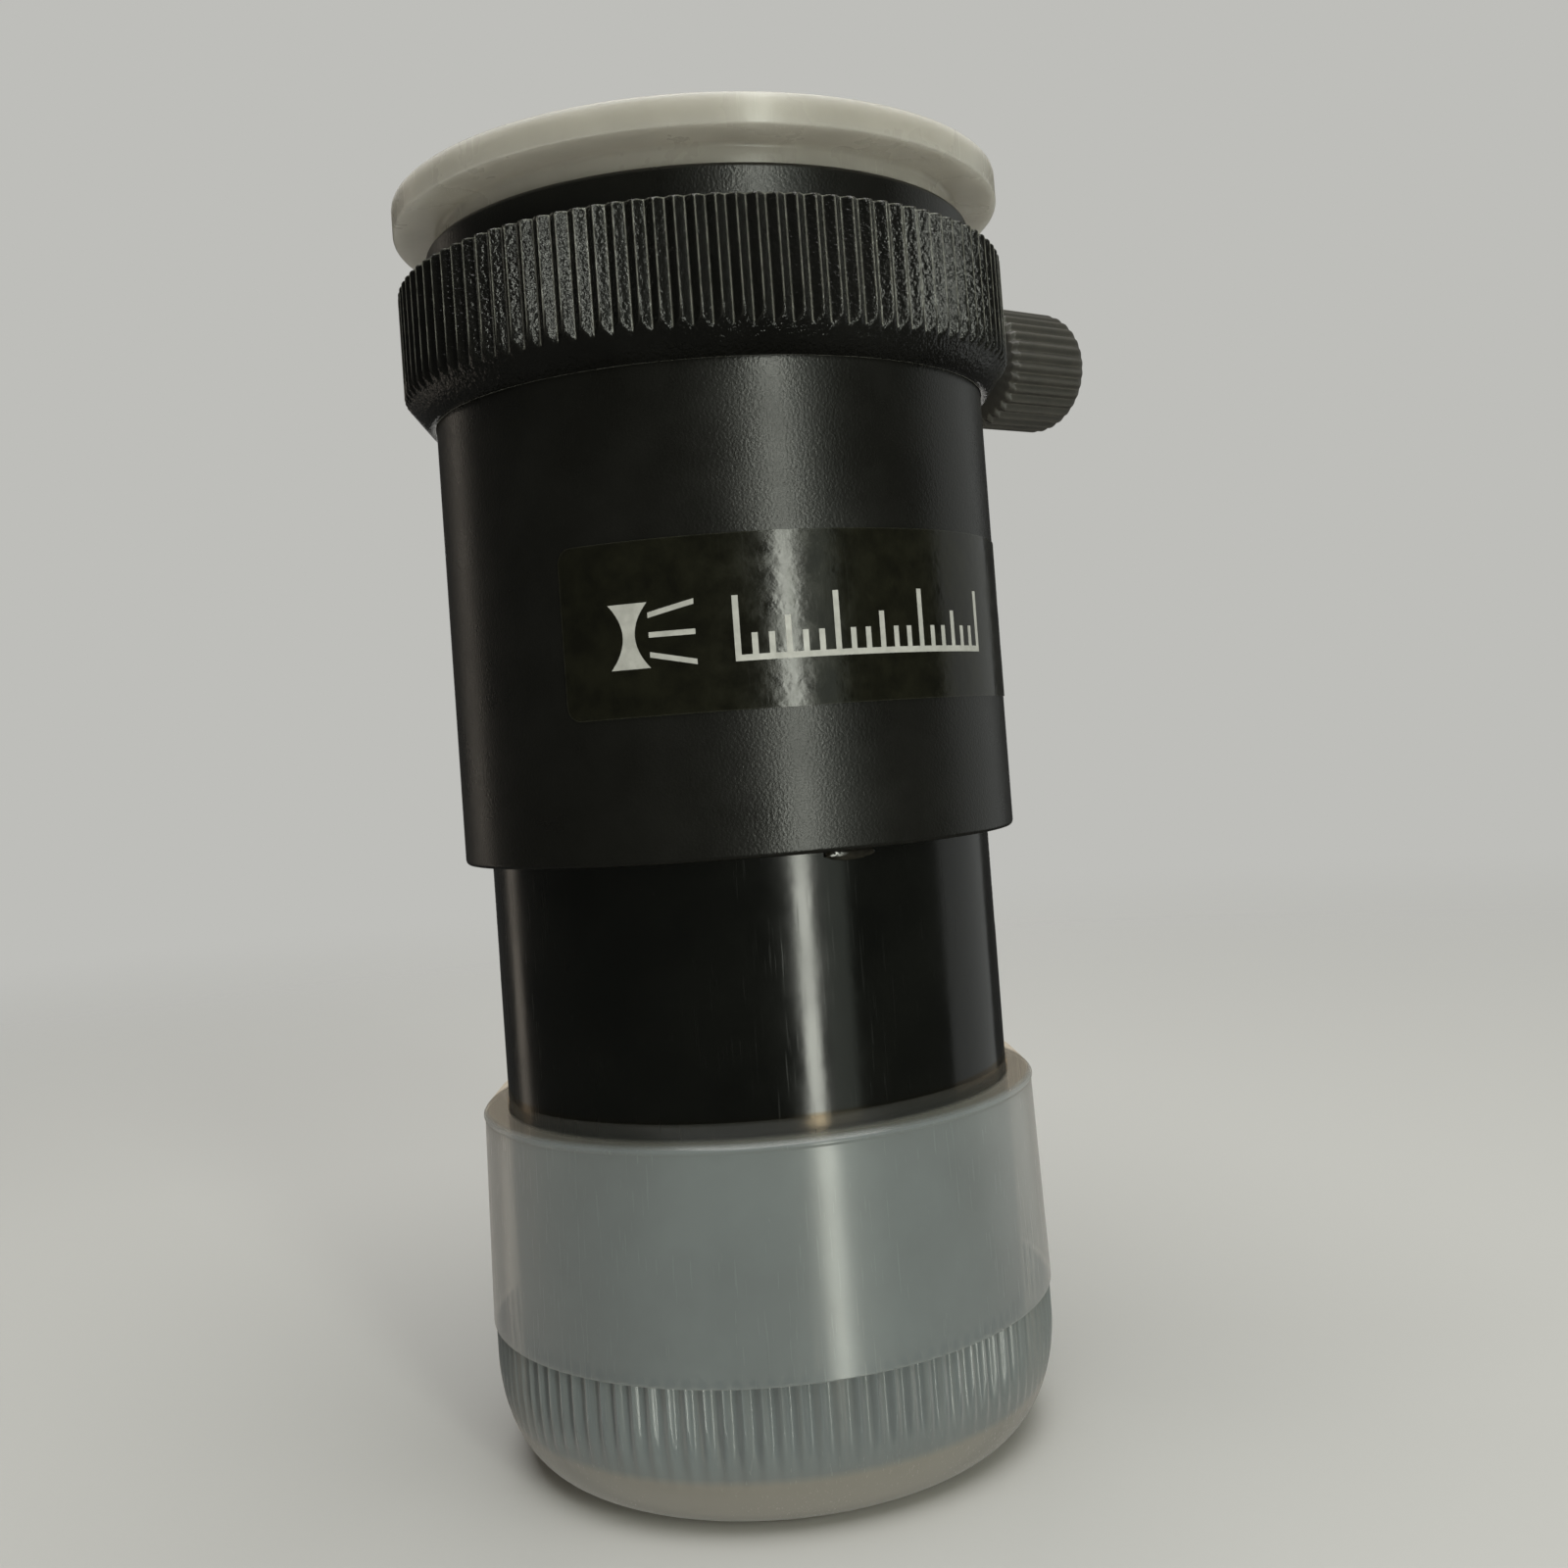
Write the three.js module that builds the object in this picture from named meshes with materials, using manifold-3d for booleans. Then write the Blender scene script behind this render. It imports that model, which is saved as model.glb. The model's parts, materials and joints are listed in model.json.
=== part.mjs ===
// A 1.25 inch barlow lens for telescopes, with its two dust caps fitted.
// Frame: millimetres, +Z up along the optical axis, origin at the centre of the lower dust cap's flat base.
import * as THREE from "three";
import { mergeVertices } from "three/addons/utils/BufferGeometryUtils.js";
import Module from "manifold-3d";

const wasm = await Module();
wasm.setup();

// ---- Driving dimensions ----------------------------------------------------------------------

const ROUND_SIDES = 60; // facets round every large turned piece
const SMALL_SIDES = 24; // facets round the screw and its neighbours
const LENS_SIDES = 36; // facets round the lens elements
const CORNER_STEPS = 5; // facets down each rounded corner
const CURVE_STEPS = 5; // facets from a lens's axis to its edge

// 1.25 inch telescope standard
const BARREL_R = 31.75 / 2;
const SOCKET_CLEARANCE = 0.075; // radial room round a barrel in the socket
const BARREL_WALL = 1.6;
const BARREL_LENGTH = 44.5;
const BARREL_CHAMFER = 0.4;
const BARREL_END_GAP = 2.3; // from the lower cap's floor up to the barrel's end

// Lower dust cap, slipped over the barrel
const CAP_FLOOR = 1.4;
const CAP_CLEARANCE = 0.1;
const CAP_LIP_TOP = 22.5;
const CAP_LIP_CHAMFER = 1.1;
const CAP_LIP_WALL = 0.4;
const CAP_MOUTH_WALL = 1.43;
const CAP_LOWER_WALL = 1.73;
const CAP_RIB_TOP = 8.6;
const CAP_RIB_COUNT = 104;
const CAP_RIB_CREST_WALL = 1.6; // from the inner wall out to the ribs' crests
const CAP_RIB_DEPTH = 0.3;
const CAP_CORNER_WIDTH = 3.9;
const CAP_CORNER_HEIGHT = 6.4;
const CAP_INNER_CORNER_WIDTH = 1.8;
const CAP_INNER_CORNER_HEIGHT = 2.4;

// Body tube with the eyepiece socket
const BODY_WALL = 1.55;
const BODY_OVERLAP = 11.3; // how far the barrel goes up into the tube
const BODY_LENGTH = 38.2;
const BODY_EDGE = 0.25; // chamfer on the tube's rims

// Knurled collar
const COLLAR_FIT = 0.05; // radial glue gap between collar and body
const COLLAR_WALL = 1.8;
const COLLAR_TOP_DROP = 2.3; // collar's top face below the body's upper rim
const COLLAR_HEIGHT = 8.5;
const COLLAR_CHAMFER = 1.75;
const COLLAR_PLAIN_BAND = 0.15;
const KNURL_COUNT = 108;
const KNURL_DEPTH = 0.45;
const COLLAR_SEAT_WIDTH = 0.35; // flat ring left under the chamfer

// Label film on the body
const LABEL_THICKNESS = 0.12;
const LABEL_GAP = 0.05;
const LABEL_RISE = 8.1; // above the body's lower rim
const LABEL_HEIGHT = 9.7;
const LABEL_START_DEG = -31; // from the front, positive towards +X
const LABEL_SWEEP_DEG = 139;
const LABEL_STEPS = 40;

// Upper dust plug, pressed into the socket
const PLUG_OVERHANG = 1.9; // flange beyond the body's side
const PLUG_FLANGE_THICKNESS = 1.75;
const PLUG_FLANGE_EDGE = 0.3;
const PLUG_LAND_HEIGHT = 1.3; // the land that keeps the flange off the body's rim
const PLUG_LAND_WIDTH = 0.7;
const PLUG_SEAT_GAP = 0.05;
const PLUG_CLEARANCE = 0.15;
const PLUG_TAPER = 0.15;
const PLUG_TIP_GAP = 0.4; // from the skirt's lower edge down to the thumbscrew's pad
const PLUG_WALL = 1.2;

// Thumbscrew, M4 by 0.7, pointing out of the collar
const SCREW_DIRECTION_DEG = 34.5; // from +X towards +Y
const SCREW_R = 2.0;
const SCREW_CLEARANCE = 0.05;
const SCREW_AXIS_DROP = 3.1; // below the collar's top face
const SCREW_TIP_CHAMFER = 0.4;
const INSERT_WALL = 0.4;
const INSERT_RECESS = 0.2; // insert's ends below the socket's wall and the knurls' roots
const PAD_STEP = 0.2; // pad's side inside the screw's
const PAD_LENGTH = 1.2;
const PAD_CHAMFER = 0.3;
const PAD_RECESS = 0.1;
const PAD_GAP = 0.1;
const KNOB_R = 4.4;
const KNOB_LENGTH = 7.4;
const KNOB_STANDOFF = 4.65; // bare screw between the collar and the knob
const KNOB_RIB_COUNT = 32;
const KNOB_RIB_DEPTH = 0.3;
const KNOB_INNER_CHAMFER = 0.35;
const KNOB_ROUND = 1.15;
const KNOB_CAP_THICKNESS = 1.2; // plastic beyond the screw's blind end
const KNOB_BORE_GAP = 0.3;

// Lens cell and its cemented doublet
const CELL_CLEARANCE = 0.1;
const CELL_RISE = 4.8; // cell's lower face above the barrel's end, room for a filter's thread
const LENS_R = 7.5;
const LENS_CURVE_R = 13.0;
const CROWN_CENTRE = 1.5;
const FLINT_EDGE = 1.2;
const CEMENT_GAP = 0.05;
const LENS_CLEARANCE = 0.1;
const LENS_SEAT_WIDTH = 0.7;
const LENS_SEAT_THICKNESS = 1.3;
const RING_HEIGHT = 2.0;
const RING_WALL = 2.0;
const RING_FIT = 0.1;
const RING_SEAT_GAP = 0.05;
const RING_SLOT_WIDTH = 1.4;
const RING_SLOT_DEPTH = 0.9;

// Light baffles in the barrel: height above the barrel's end and radius of the hole
const BAFFLES = [
  { name: "lower_baffle", rise: 22.5, hole: 8.2 },
  { name: "upper_baffle", rise: 35.5, hole: 10.4 },
];
const BAFFLE_THICKNESS = 0.8;
const BAFFLE_CLEARANCE = 0.1;

// How far cutting and joining shapes run past the piece they work on
const HOLE_OVERRUN = 2;
const JOIN_DEPTH = 0.2;
const MERGE_DISTANCE = 1e-4; // corners closer than this are one corner

// ---- Sizes that follow from them -------------------------------------------------------------

const socketR = BARREL_R + SOCKET_CLEARANCE;
const bodyR = socketR + BODY_WALL;
const barrelInnerR = BARREL_R - BARREL_WALL;
const barrelEnd = CAP_FLOOR + BARREL_END_GAP;
const barrelTop = barrelEnd + BARREL_LENGTH;
const bodyBottom = barrelTop - BODY_OVERLAP;
const bodyTop = bodyBottom + BODY_LENGTH;
const capInnerR = BARREL_R + CAP_CLEARANCE;
const collarInnerR = bodyR + COLLAR_FIT;
const collarR = collarInnerR + COLLAR_WALL;
const collarTop = bodyTop - COLLAR_TOP_DROP;
const collarBottom = collarTop - COLLAR_HEIGHT;
const knurlBottom = collarBottom + COLLAR_CHAMFER + COLLAR_PLAIN_BAND;
const screwHeight = collarTop - SCREW_AXIS_DROP;
const insertInnerR = SCREW_R + SCREW_CLEARANCE;
const insertOuterR = insertInnerR + INSERT_WALL;
const insertHoleR = insertOuterR + SCREW_CLEARANCE;
const insertStart = socketR + INSERT_RECESS;
const insertEnd = collarR - KNURL_DEPTH - INSERT_RECESS;
const knobStart = collarR + KNOB_STANDOFF;
const padR = SCREW_R - PAD_STEP;
const padStart = socketR + PAD_RECESS;
const screwStart = padStart + PAD_LENGTH + PAD_GAP;
const screwEnd = knobStart + KNOB_LENGTH - KNOB_CAP_THICKNESS - KNOB_BORE_GAP;
const cellBottom = barrelEnd + CELL_RISE;
const lensBottom = cellBottom + RING_HEIGHT + RING_SEAT_GAP * 2;
const lensSag = LENS_CURVE_R - Math.sqrt(LENS_CURVE_R ** 2 - LENS_R ** 2);
const crownEdge = CROWN_CENTRE + 2 * lensSag;
const flintBottom = lensBottom + crownEdge + CEMENT_GAP;
const lensTop = flintBottom + FLINT_EDGE;
const cellTop = lensTop + RING_SEAT_GAP + LENS_SEAT_THICKNESS;
const cellR = barrelInnerR - CELL_CLEARANCE;
const lensBoreR = LENS_R + LENS_CLEARANCE;
const ringBoreR = lensBoreR + LENS_SEAT_WIDTH + RING_FIT;
const ringR = ringBoreR - RING_FIT;

// ---- Shape helpers ---------------------------------------------------------------------------

/** A closed solid turned round Z from a closed profile of [radius, height] pairs. */
function turned(profile, sides = ROUND_SIDES) {
  const points = profile.map(([r, z]) => new THREE.Vector2(r, z));
  const onAxis = points[0].x === 0 && points.at(-1).x === 0;
  if (!onAxis) points.push(points[0].clone());
  // A lathe turns round Y, so its heights are laid along Z, and facing is set by the profile's sense.
  if (THREE.ShapeUtils.area(points) > 0) points.reverse();
  const geometry = new THREE.LatheGeometry(points.reverse(), sides);
  return geometry.rotateX(Math.PI / 2);
}

/** A prism along Z from zLow to zHigh whose outline is a ring of teeth, with an optional round bore. */
function toothedPrism(crestR, rootR, teeth, zLow, zHigh, boreR = 0) {
  const outline = new THREE.Shape();
  const corners = teeth * 2;
  for (let i = 0; i < corners; i += 1) {
    const r = i % 2 === 0 ? crestR : rootR;
    const angle = (i / corners) * 2 * Math.PI;
    const x = r * Math.cos(angle);
    const y = r * Math.sin(angle);
    if (i === 0) outline.moveTo(x, y);
    else outline.lineTo(x, y);
  }
  outline.closePath();
  if (boreR > 0) {
    const bore = new THREE.Path();
    for (let i = 0; i < ROUND_SIDES; i += 1) {
      const angle = (i / ROUND_SIDES) * 2 * Math.PI;
      const x = boreR * Math.sin(angle);
      const y = boreR * Math.cos(angle);
      if (i === 0) bore.moveTo(x, y);
      else bore.lineTo(x, y);
    }
    bore.closePath();
    outline.holes.push(bore);
  }
  const geometry = new THREE.ExtrudeGeometry(outline, {
    depth: zHigh - zLow,
    bevelEnabled: false,
    steps: 1,
  });
  return geometry.translate(0, 0, zLow);
}

/** A geometry as a manifold-3d solid. */
function solid(geometry) {
  const bare = geometry.clone();
  bare.deleteAttribute("normal");
  bare.deleteAttribute("uv");
  const merged = mergeVertices(bare, MERGE_DISTANCE);
  const mesh = new wasm.Mesh({
    numProp: 3,
    vertProperties: new Float32Array(merged.attributes.position.array),
    triVerts: new Uint32Array(merged.index.array),
  });
  return new wasm.Manifold(mesh);
}

/** A manifold-3d solid as a geometry. */
function geometryOf(made) {
  const mesh = made.getMesh();
  const stride = mesh.numProp;
  const positions = new Float32Array(mesh.numVert * 3);
  for (let i = 0; i < mesh.numVert; i += 1) {
    positions.set(mesh.vertProperties.subarray(i * stride, i * stride + 3), i * 3);
  }
  const geometry = new THREE.BufferGeometry();
  geometry.setAttribute("position", new THREE.BufferAttribute(positions, 3));
  geometry.setIndex(new THREE.BufferAttribute(mesh.triVerts, 1));
  return geometry;
}

/** A cylinder along the thumbscrew's axis, in the part's frame. */
function screwHole(radius, fromR, toR) {
  const hole = new THREE.CylinderGeometry(radius, radius, toR - fromR, SMALL_SIDES);
  hole.rotateZ(-Math.PI / 2);
  hole.translate((fromR + toR) / 2, 0, screwHeight);
  return hole.rotateZ(THREE.MathUtils.degToRad(SCREW_DIRECTION_DEG));
}

/** Points of an elliptical arc from angle a to angle b in degrees. */
function arc(centreR, centreZ, width, height, a, b, steps) {
  const points = [];
  for (let i = 0; i <= steps; i += 1) {
    const angle = THREE.MathUtils.degToRad(a + ((b - a) * i) / steps);
    points.push([centreR + width * Math.cos(angle), centreZ + height * Math.sin(angle)]);
  }
  return points;
}

// ---- Materials -------------------------------------------------------------------------------

const finish = (color, roughness, metalness = 0) =>
  new THREE.MeshStandardMaterial({ color, roughness, metalness });

/** Milky polyethylene that lets some light through. */
function milky(color, opacity) {
  const material = finish(color, 0.4);
  material.transparent = true;
  material.opacity = opacity;
  return material;
}

/** A named mesh. */
function piece(name, geometry, material) {
  const mesh = new THREE.Mesh(geometry, material);
  mesh.name = name;
  return mesh;
}

// ---- Pieces ----------------------------------------------------------------------------------

/** Glossy nosepiece barrel that slides into a 1.25 inch focuser. */
function nosepieceBarrel() {
  const c = BARREL_CHAMFER;
  const profile = [
    [barrelInnerR + c, barrelEnd],
    [BARREL_R - c, barrelEnd],
    [BARREL_R, barrelEnd + c],
    [BARREL_R, barrelTop],
    [barrelInnerR, barrelTop],
    [barrelInnerR, barrelEnd + c],
  ];
  return piece("nosepiece_barrel", turned(profile), finish("#121311", 0.2));
}

/** Satin body tube whose bore is the eyepiece socket. */
function bodyTube() {
  const e = BODY_EDGE;
  const profile = [
    [socketR, bodyBottom],
    [bodyR - e, bodyBottom],
    [bodyR, bodyBottom + e],
    [bodyR, bodyTop - e],
    [bodyR - e, bodyTop],
    [socketR + e, bodyTop],
    [socketR, bodyTop - e],
  ];
  const tube = solid(turned(profile));
  const hole = solid(screwHole(insertHoleR, socketR - HOLE_OVERRUN, collarR + HOLE_OVERRUN));
  return piece("body_tube", geometryOf(tube.subtract(hole)), finish("#1e1e1d", 0.45));
}

/** Knurled collar round the body's upper end. */
function knurledCollar() {
  const rootR = collarR - KNURL_DEPTH;
  const ring = turned([
    [collarInnerR, collarBottom],
    [collarInnerR + COLLAR_SEAT_WIDTH, collarBottom],
    [collarR, collarBottom + COLLAR_CHAMFER],
    [collarR, knurlBottom],
    [rootR, knurlBottom],
    [rootR, collarTop],
    [collarInnerR, collarTop],
  ]);
  const teeth = toothedPrism(collarR, rootR, KNURL_COUNT, knurlBottom - JOIN_DEPTH, collarTop, collarInnerR);
  const hole = solid(screwHole(insertHoleR, socketR - HOLE_OVERRUN, collarR + HOLE_OVERRUN));
  const collar = solid(ring).add(solid(teeth)).subtract(hole);
  return piece("knurled_collar", geometryOf(collar), finish("#141412", 0.4));
}

/** Glossy label film wrapped part of the way round the body. */
function labelFilm() {
  const inner = bodyR + LABEL_GAP;
  const outer = inner + LABEL_THICKNESS;
  const outline = new THREE.Shape();
  const angleAt = (i) =>
    THREE.MathUtils.degToRad(LABEL_START_DEG - 90 + (LABEL_SWEEP_DEG * i) / LABEL_STEPS);
  for (let i = 0; i <= LABEL_STEPS; i += 1) {
    const x = outer * Math.cos(angleAt(i));
    const y = outer * Math.sin(angleAt(i));
    if (i === 0) outline.moveTo(x, y);
    else outline.lineTo(x, y);
  }
  for (let i = LABEL_STEPS; i >= 0; i -= 1) {
    outline.lineTo(inner * Math.cos(angleAt(i)), inner * Math.sin(angleAt(i)));
  }
  outline.closePath();
  const film = new THREE.ExtrudeGeometry(outline, {
    depth: LABEL_HEIGHT,
    bevelEnabled: false,
    steps: 1,
  });
  return piece("label_film", film.translate(0, 0, bodyBottom + LABEL_RISE), finish("#1a1a16", 0.15));
}

/** Milky plug with a wide flange, closing the eyepiece socket. */
function topPlugCap() {
  const flangeBottom = bodyTop + PLUG_SEAT_GAP + PLUG_LAND_HEIGHT;
  const flangeTop = flangeBottom + PLUG_FLANGE_THICKNESS;
  const skirtR = socketR - PLUG_CLEARANCE;
  const skirtBottom = screwHeight + padR + PLUG_TIP_GAP;
  const landR = socketR + PLUG_LAND_WIDTH;
  const landBottom = bodyTop + PLUG_SEAT_GAP;
  const innerR = skirtR - PLUG_TAPER - PLUG_WALL;
  const flangeR = bodyR + PLUG_OVERHANG;
  const e = PLUG_FLANGE_EDGE;
  const profile = [
    [0, flangeBottom],
    [innerR, flangeBottom],
    [innerR, skirtBottom],
    [skirtR - PLUG_TAPER, skirtBottom],
    [skirtR, landBottom],
    [landR, landBottom],
    [landR, flangeBottom],
    [flangeR - e, flangeBottom],
    [flangeR, flangeBottom + e],
    [flangeR, flangeTop - e],
    [flangeR - e, flangeTop],
    [0, flangeTop],
  ];
  return piece("top_plug_cap", turned(profile), milky("#b9b5ab", 0.8));
}

/** Milky friction cap over the barrel's end, with a ribbed grip round its rounded base. */
function endCap() {
  const ribCrestR = capInnerR + CAP_RIB_CREST_WALL;
  const lowerR = capInnerR + CAP_LOWER_WALL;
  const mouthR = capInnerR + CAP_MOUTH_WALL;
  const chamferBase = CAP_LIP_TOP - CAP_LIP_CHAMFER;
  const cornerR = ribCrestR - CAP_CORNER_WIDTH;
  const innerCornerR = capInnerR - CAP_INNER_CORNER_WIDTH;
  const innerCornerZ = CAP_FLOOR + CAP_INNER_CORNER_HEIGHT;
  const outerCorner = arc(
    cornerR, CAP_CORNER_HEIGHT, CAP_CORNER_WIDTH, CAP_CORNER_HEIGHT, -90, 0, CORNER_STEPS,
  );
  const innerCorner = arc(
    innerCornerR, innerCornerZ, CAP_INNER_CORNER_WIDTH, CAP_INNER_CORNER_HEIGHT, 0, -90, CORNER_STEPS,
  );
  const shell = turned([
    [0, 0],
    ...outerCorner,
    [ribCrestR, CAP_RIB_TOP],
    [lowerR, CAP_RIB_TOP],
    [mouthR, chamferBase],
    [capInnerR + CAP_LIP_WALL, CAP_LIP_TOP],
    [capInnerR, CAP_LIP_TOP],
    ...innerCorner,
    [0, CAP_FLOOR],
  ]);
  const rootR = ribCrestR - CAP_RIB_DEPTH;
  const blank = turned([
    [rootR - JOIN_DEPTH, CAP_CORNER_HEIGHT],
    [ribCrestR + JOIN_DEPTH, CAP_CORNER_HEIGHT],
    [ribCrestR + JOIN_DEPTH, CAP_RIB_TOP],
    [rootR - JOIN_DEPTH, CAP_RIB_TOP],
  ]);
  const teeth = toothedPrism(
    ribCrestR, rootR, CAP_RIB_COUNT, CAP_CORNER_HEIGHT - JOIN_DEPTH, CAP_RIB_TOP + JOIN_DEPTH,
  );
  const grooves = solid(blank).subtract(solid(teeth));
  return piece("end_cap", geometryOf(solid(shell).subtract(grooves)), milky("#9fa4a4", 0.6));
}

/** The turned pieces on the thumbscrew's axis, in a group whose local Z points out of the collar. */
function thumbscrew() {
  const insert = turned([
    [insertInnerR, insertStart],
    [insertOuterR, insertStart],
    [insertOuterR, insertEnd],
    [insertInnerR, insertEnd],
  ], SMALL_SIDES);
  const pad = turned([
    [0, padStart],
    [padR - PAD_CHAMFER, padStart],
    [padR, padStart + PAD_CHAMFER],
    [padR, padStart + PAD_LENGTH],
    [0, padStart + PAD_LENGTH],
  ], SMALL_SIDES);
  const shaft = turned([
    [0, screwStart],
    [SCREW_R - SCREW_TIP_CHAMFER, screwStart],
    [SCREW_R, screwStart + SCREW_TIP_CHAMFER],
    [SCREW_R, screwEnd],
    [0, screwEnd],
  ], SMALL_SIDES);
  const group = new THREE.Group();
  group.add(
    piece("thread_insert", insert, finish("#b08d4a", 0.35, 1)),
    piece("screw_pad", pad, finish("#d8d5c8", 0.5)),
    piece("thumbscrew_shaft", shaft, finish("#8b8d8f", 0.35, 1)),
    piece("thumbscrew_knob", knobGeometry(), finish("#4a4843", 0.6)),
  );
  // Local Z is laid along +X, then swung round the optical axis.
  group.rotation.set(0, Math.PI / 2, 0);
  const swing = new THREE.Group();
  swing.add(group);
  swing.rotation.z = THREE.MathUtils.degToRad(SCREW_DIRECTION_DEG);
  swing.position.z = screwHeight;
  return swing;
}

/** Ribbed knob with a chamfered inner edge, a rounded outer edge and a blind hole for the screw. */
function knobGeometry() {
  const knobEnd = knobStart + KNOB_LENGTH;
  const boreR = SCREW_R + SCREW_CLEARANCE;
  const boreEnd = screwEnd + KNOB_BORE_GAP;
  const outer = turned([
    [0, knobStart],
    [KNOB_R - KNOB_INNER_CHAMFER, knobStart],
    [KNOB_R, knobStart + KNOB_INNER_CHAMFER],
    ...arc(KNOB_R - KNOB_ROUND, knobEnd - KNOB_ROUND, KNOB_ROUND, KNOB_ROUND, 0, 90, CORNER_STEPS),
    [0, knobEnd],
  ], SMALL_SIDES);
  const teeth = toothedPrism(
    KNOB_R, KNOB_R - KNOB_RIB_DEPTH, KNOB_RIB_COUNT, knobStart - JOIN_DEPTH, knobEnd + JOIN_DEPTH,
  );
  const bore = turned([
    [0, knobStart - JOIN_DEPTH],
    [boreR, knobStart - JOIN_DEPTH],
    [boreR, boreEnd],
    [0, boreEnd],
  ], SMALL_SIDES);
  return geometryOf(solid(outer).intersect(solid(teeth)).subtract(solid(bore)));
}

/** Threaded cell that holds the doublet in the barrel. */
function lensCell() {
  const seatR = LENS_R - LENS_SEAT_WIDTH;
  const profile = [
    [ringBoreR, cellBottom],
    [cellR, cellBottom],
    [cellR, cellTop],
    [seatR, cellTop],
    [seatR, cellTop - LENS_SEAT_THICKNESS],
    [lensBoreR, cellTop - LENS_SEAT_THICKNESS],
    [lensBoreR, lensBottom],
    [ringBoreR, lensBottom],
  ];
  return piece("lens_cell", turned(profile), finish("#161616", 0.5));
}

/** Ring that screws in under the doublet, with two slots for a spanner. */
function retainingRing() {
  const low = cellBottom + RING_SEAT_GAP;
  const high = low + RING_HEIGHT;
  const ring = solid(turned([
    [ringR - RING_WALL, low],
    [ringR, low],
    [ringR, high],
    [ringR - RING_WALL, high],
  ]));
  const slot = new THREE.BoxGeometry(RING_SLOT_WIDTH, (ringR + HOLE_OVERRUN) * 2, RING_SLOT_DEPTH * 2);
  slot.translate(0, 0, low);
  return piece("lens_retaining_ring", geometryOf(ring.subtract(solid(slot))), finish("#161616", 0.5));
}

/** Height above its vertex of the doublet's curve at radius r. */
const sagAt = (r) => LENS_CURVE_R - Math.sqrt(LENS_CURVE_R ** 2 - r ** 2);

/** Points of a lens face from the axis out to its edge. */
function lensFace(vertexZ, bend) {
  const points = [];
  for (let i = 0; i <= CURVE_STEPS; i += 1) {
    const r = (LENS_R * i) / CURVE_STEPS;
    points.push([r, vertexZ + bend * sagAt(r)]);
  }
  return points;
}

/** Crown element hollow on both faces, and the flint element cemented on top of it. */
function doublet() {
  const crownLow = lensFace(lensBottom + lensSag, -1);
  const crownHigh = lensFace(lensBottom + lensSag + CROWN_CENTRE, 1).reverse();
  const flintLow = lensFace(flintBottom - lensSag, 1);
  const flintTop = [[LENS_R, lensTop], [0, lensTop]];
  return [
    piece("crown_lens", turned([...crownLow, ...crownHigh], LENS_SIDES), finish("#c8d6d2", 0.05)),
    piece("flint_lens", turned([...flintLow, ...flintTop], LENS_SIDES), finish("#c2d2d4", 0.05)),
  ];
}

/** Blackened ring that stops stray light in the barrel. */
function baffle({ name, rise, hole }) {
  const low = barrelEnd + rise;
  const outerR = barrelInnerR - BAFFLE_CLEARANCE;
  const profile = [
    [hole, low],
    [outerR, low],
    [outerR, low + BAFFLE_THICKNESS],
    [hole, low + BAFFLE_THICKNESS],
  ];
  return piece(name, turned(profile), finish("#0d0d0d", 0.9));
}

const barlow = new THREE.Group();
barlow.add(
  nosepieceBarrel(),
  bodyTube(),
  knurledCollar(),
  labelFilm(),
  topPlugCap(),
  endCap(),
  thumbscrew(),
  lensCell(),
  retainingRing(),
  ...doublet(),
  ...BAFFLES.map(baffle),
);

export default barlow;
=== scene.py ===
"""A 1.25 inch barlow lens with both dust caps fitted, in a plain studio.

Shapes are drawn in millimetres and turned to metres as each piece is finished. The frame is the
part's own: +Z up the optical axis, -Y towards the viewer and the origin under the lower cap.
"""
import json
import logging
import math
from dataclasses import dataclass
from enum import Enum
from typing import Callable, Iterable

import bmesh
import bpy
from bmesh.types import BMesh
from mathutils import Matrix, Vector, noise


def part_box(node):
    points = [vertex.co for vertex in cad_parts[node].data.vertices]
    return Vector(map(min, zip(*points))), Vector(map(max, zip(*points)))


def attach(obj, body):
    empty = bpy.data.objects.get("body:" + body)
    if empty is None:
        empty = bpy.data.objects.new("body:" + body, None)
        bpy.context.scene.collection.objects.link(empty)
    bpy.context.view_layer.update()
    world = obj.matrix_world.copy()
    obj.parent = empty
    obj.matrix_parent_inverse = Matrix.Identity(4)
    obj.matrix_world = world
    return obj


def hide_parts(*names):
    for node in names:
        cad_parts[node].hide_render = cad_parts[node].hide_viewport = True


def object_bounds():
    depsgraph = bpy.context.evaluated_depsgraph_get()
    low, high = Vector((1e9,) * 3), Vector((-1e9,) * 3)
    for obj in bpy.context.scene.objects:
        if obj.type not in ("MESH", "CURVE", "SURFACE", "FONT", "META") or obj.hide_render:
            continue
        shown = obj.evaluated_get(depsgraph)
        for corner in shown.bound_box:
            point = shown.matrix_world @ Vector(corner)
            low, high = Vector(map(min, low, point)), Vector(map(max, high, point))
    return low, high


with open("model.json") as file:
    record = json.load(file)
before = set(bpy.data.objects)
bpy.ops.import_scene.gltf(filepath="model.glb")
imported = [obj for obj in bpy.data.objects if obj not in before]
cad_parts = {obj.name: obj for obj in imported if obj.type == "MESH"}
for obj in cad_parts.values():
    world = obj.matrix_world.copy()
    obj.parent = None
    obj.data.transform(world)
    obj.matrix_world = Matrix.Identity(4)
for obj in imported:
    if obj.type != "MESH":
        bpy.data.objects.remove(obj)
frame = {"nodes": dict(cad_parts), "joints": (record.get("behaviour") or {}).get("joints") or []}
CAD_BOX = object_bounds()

log = logging.getLogger("barlow")

MM = 0.001
WELD_MM = 1e-4
ON_CIRCLE_MM = WELD_MM * 10
ROUND_SEGMENTS = 192
DRILL_SEGMENTS = 48
# A thread's flanks are this much steeper than a plain zigzag, which leaves its crests this flat.
THREAD_SLOPE = 1.2
THREAD_CREST = 0.1
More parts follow.
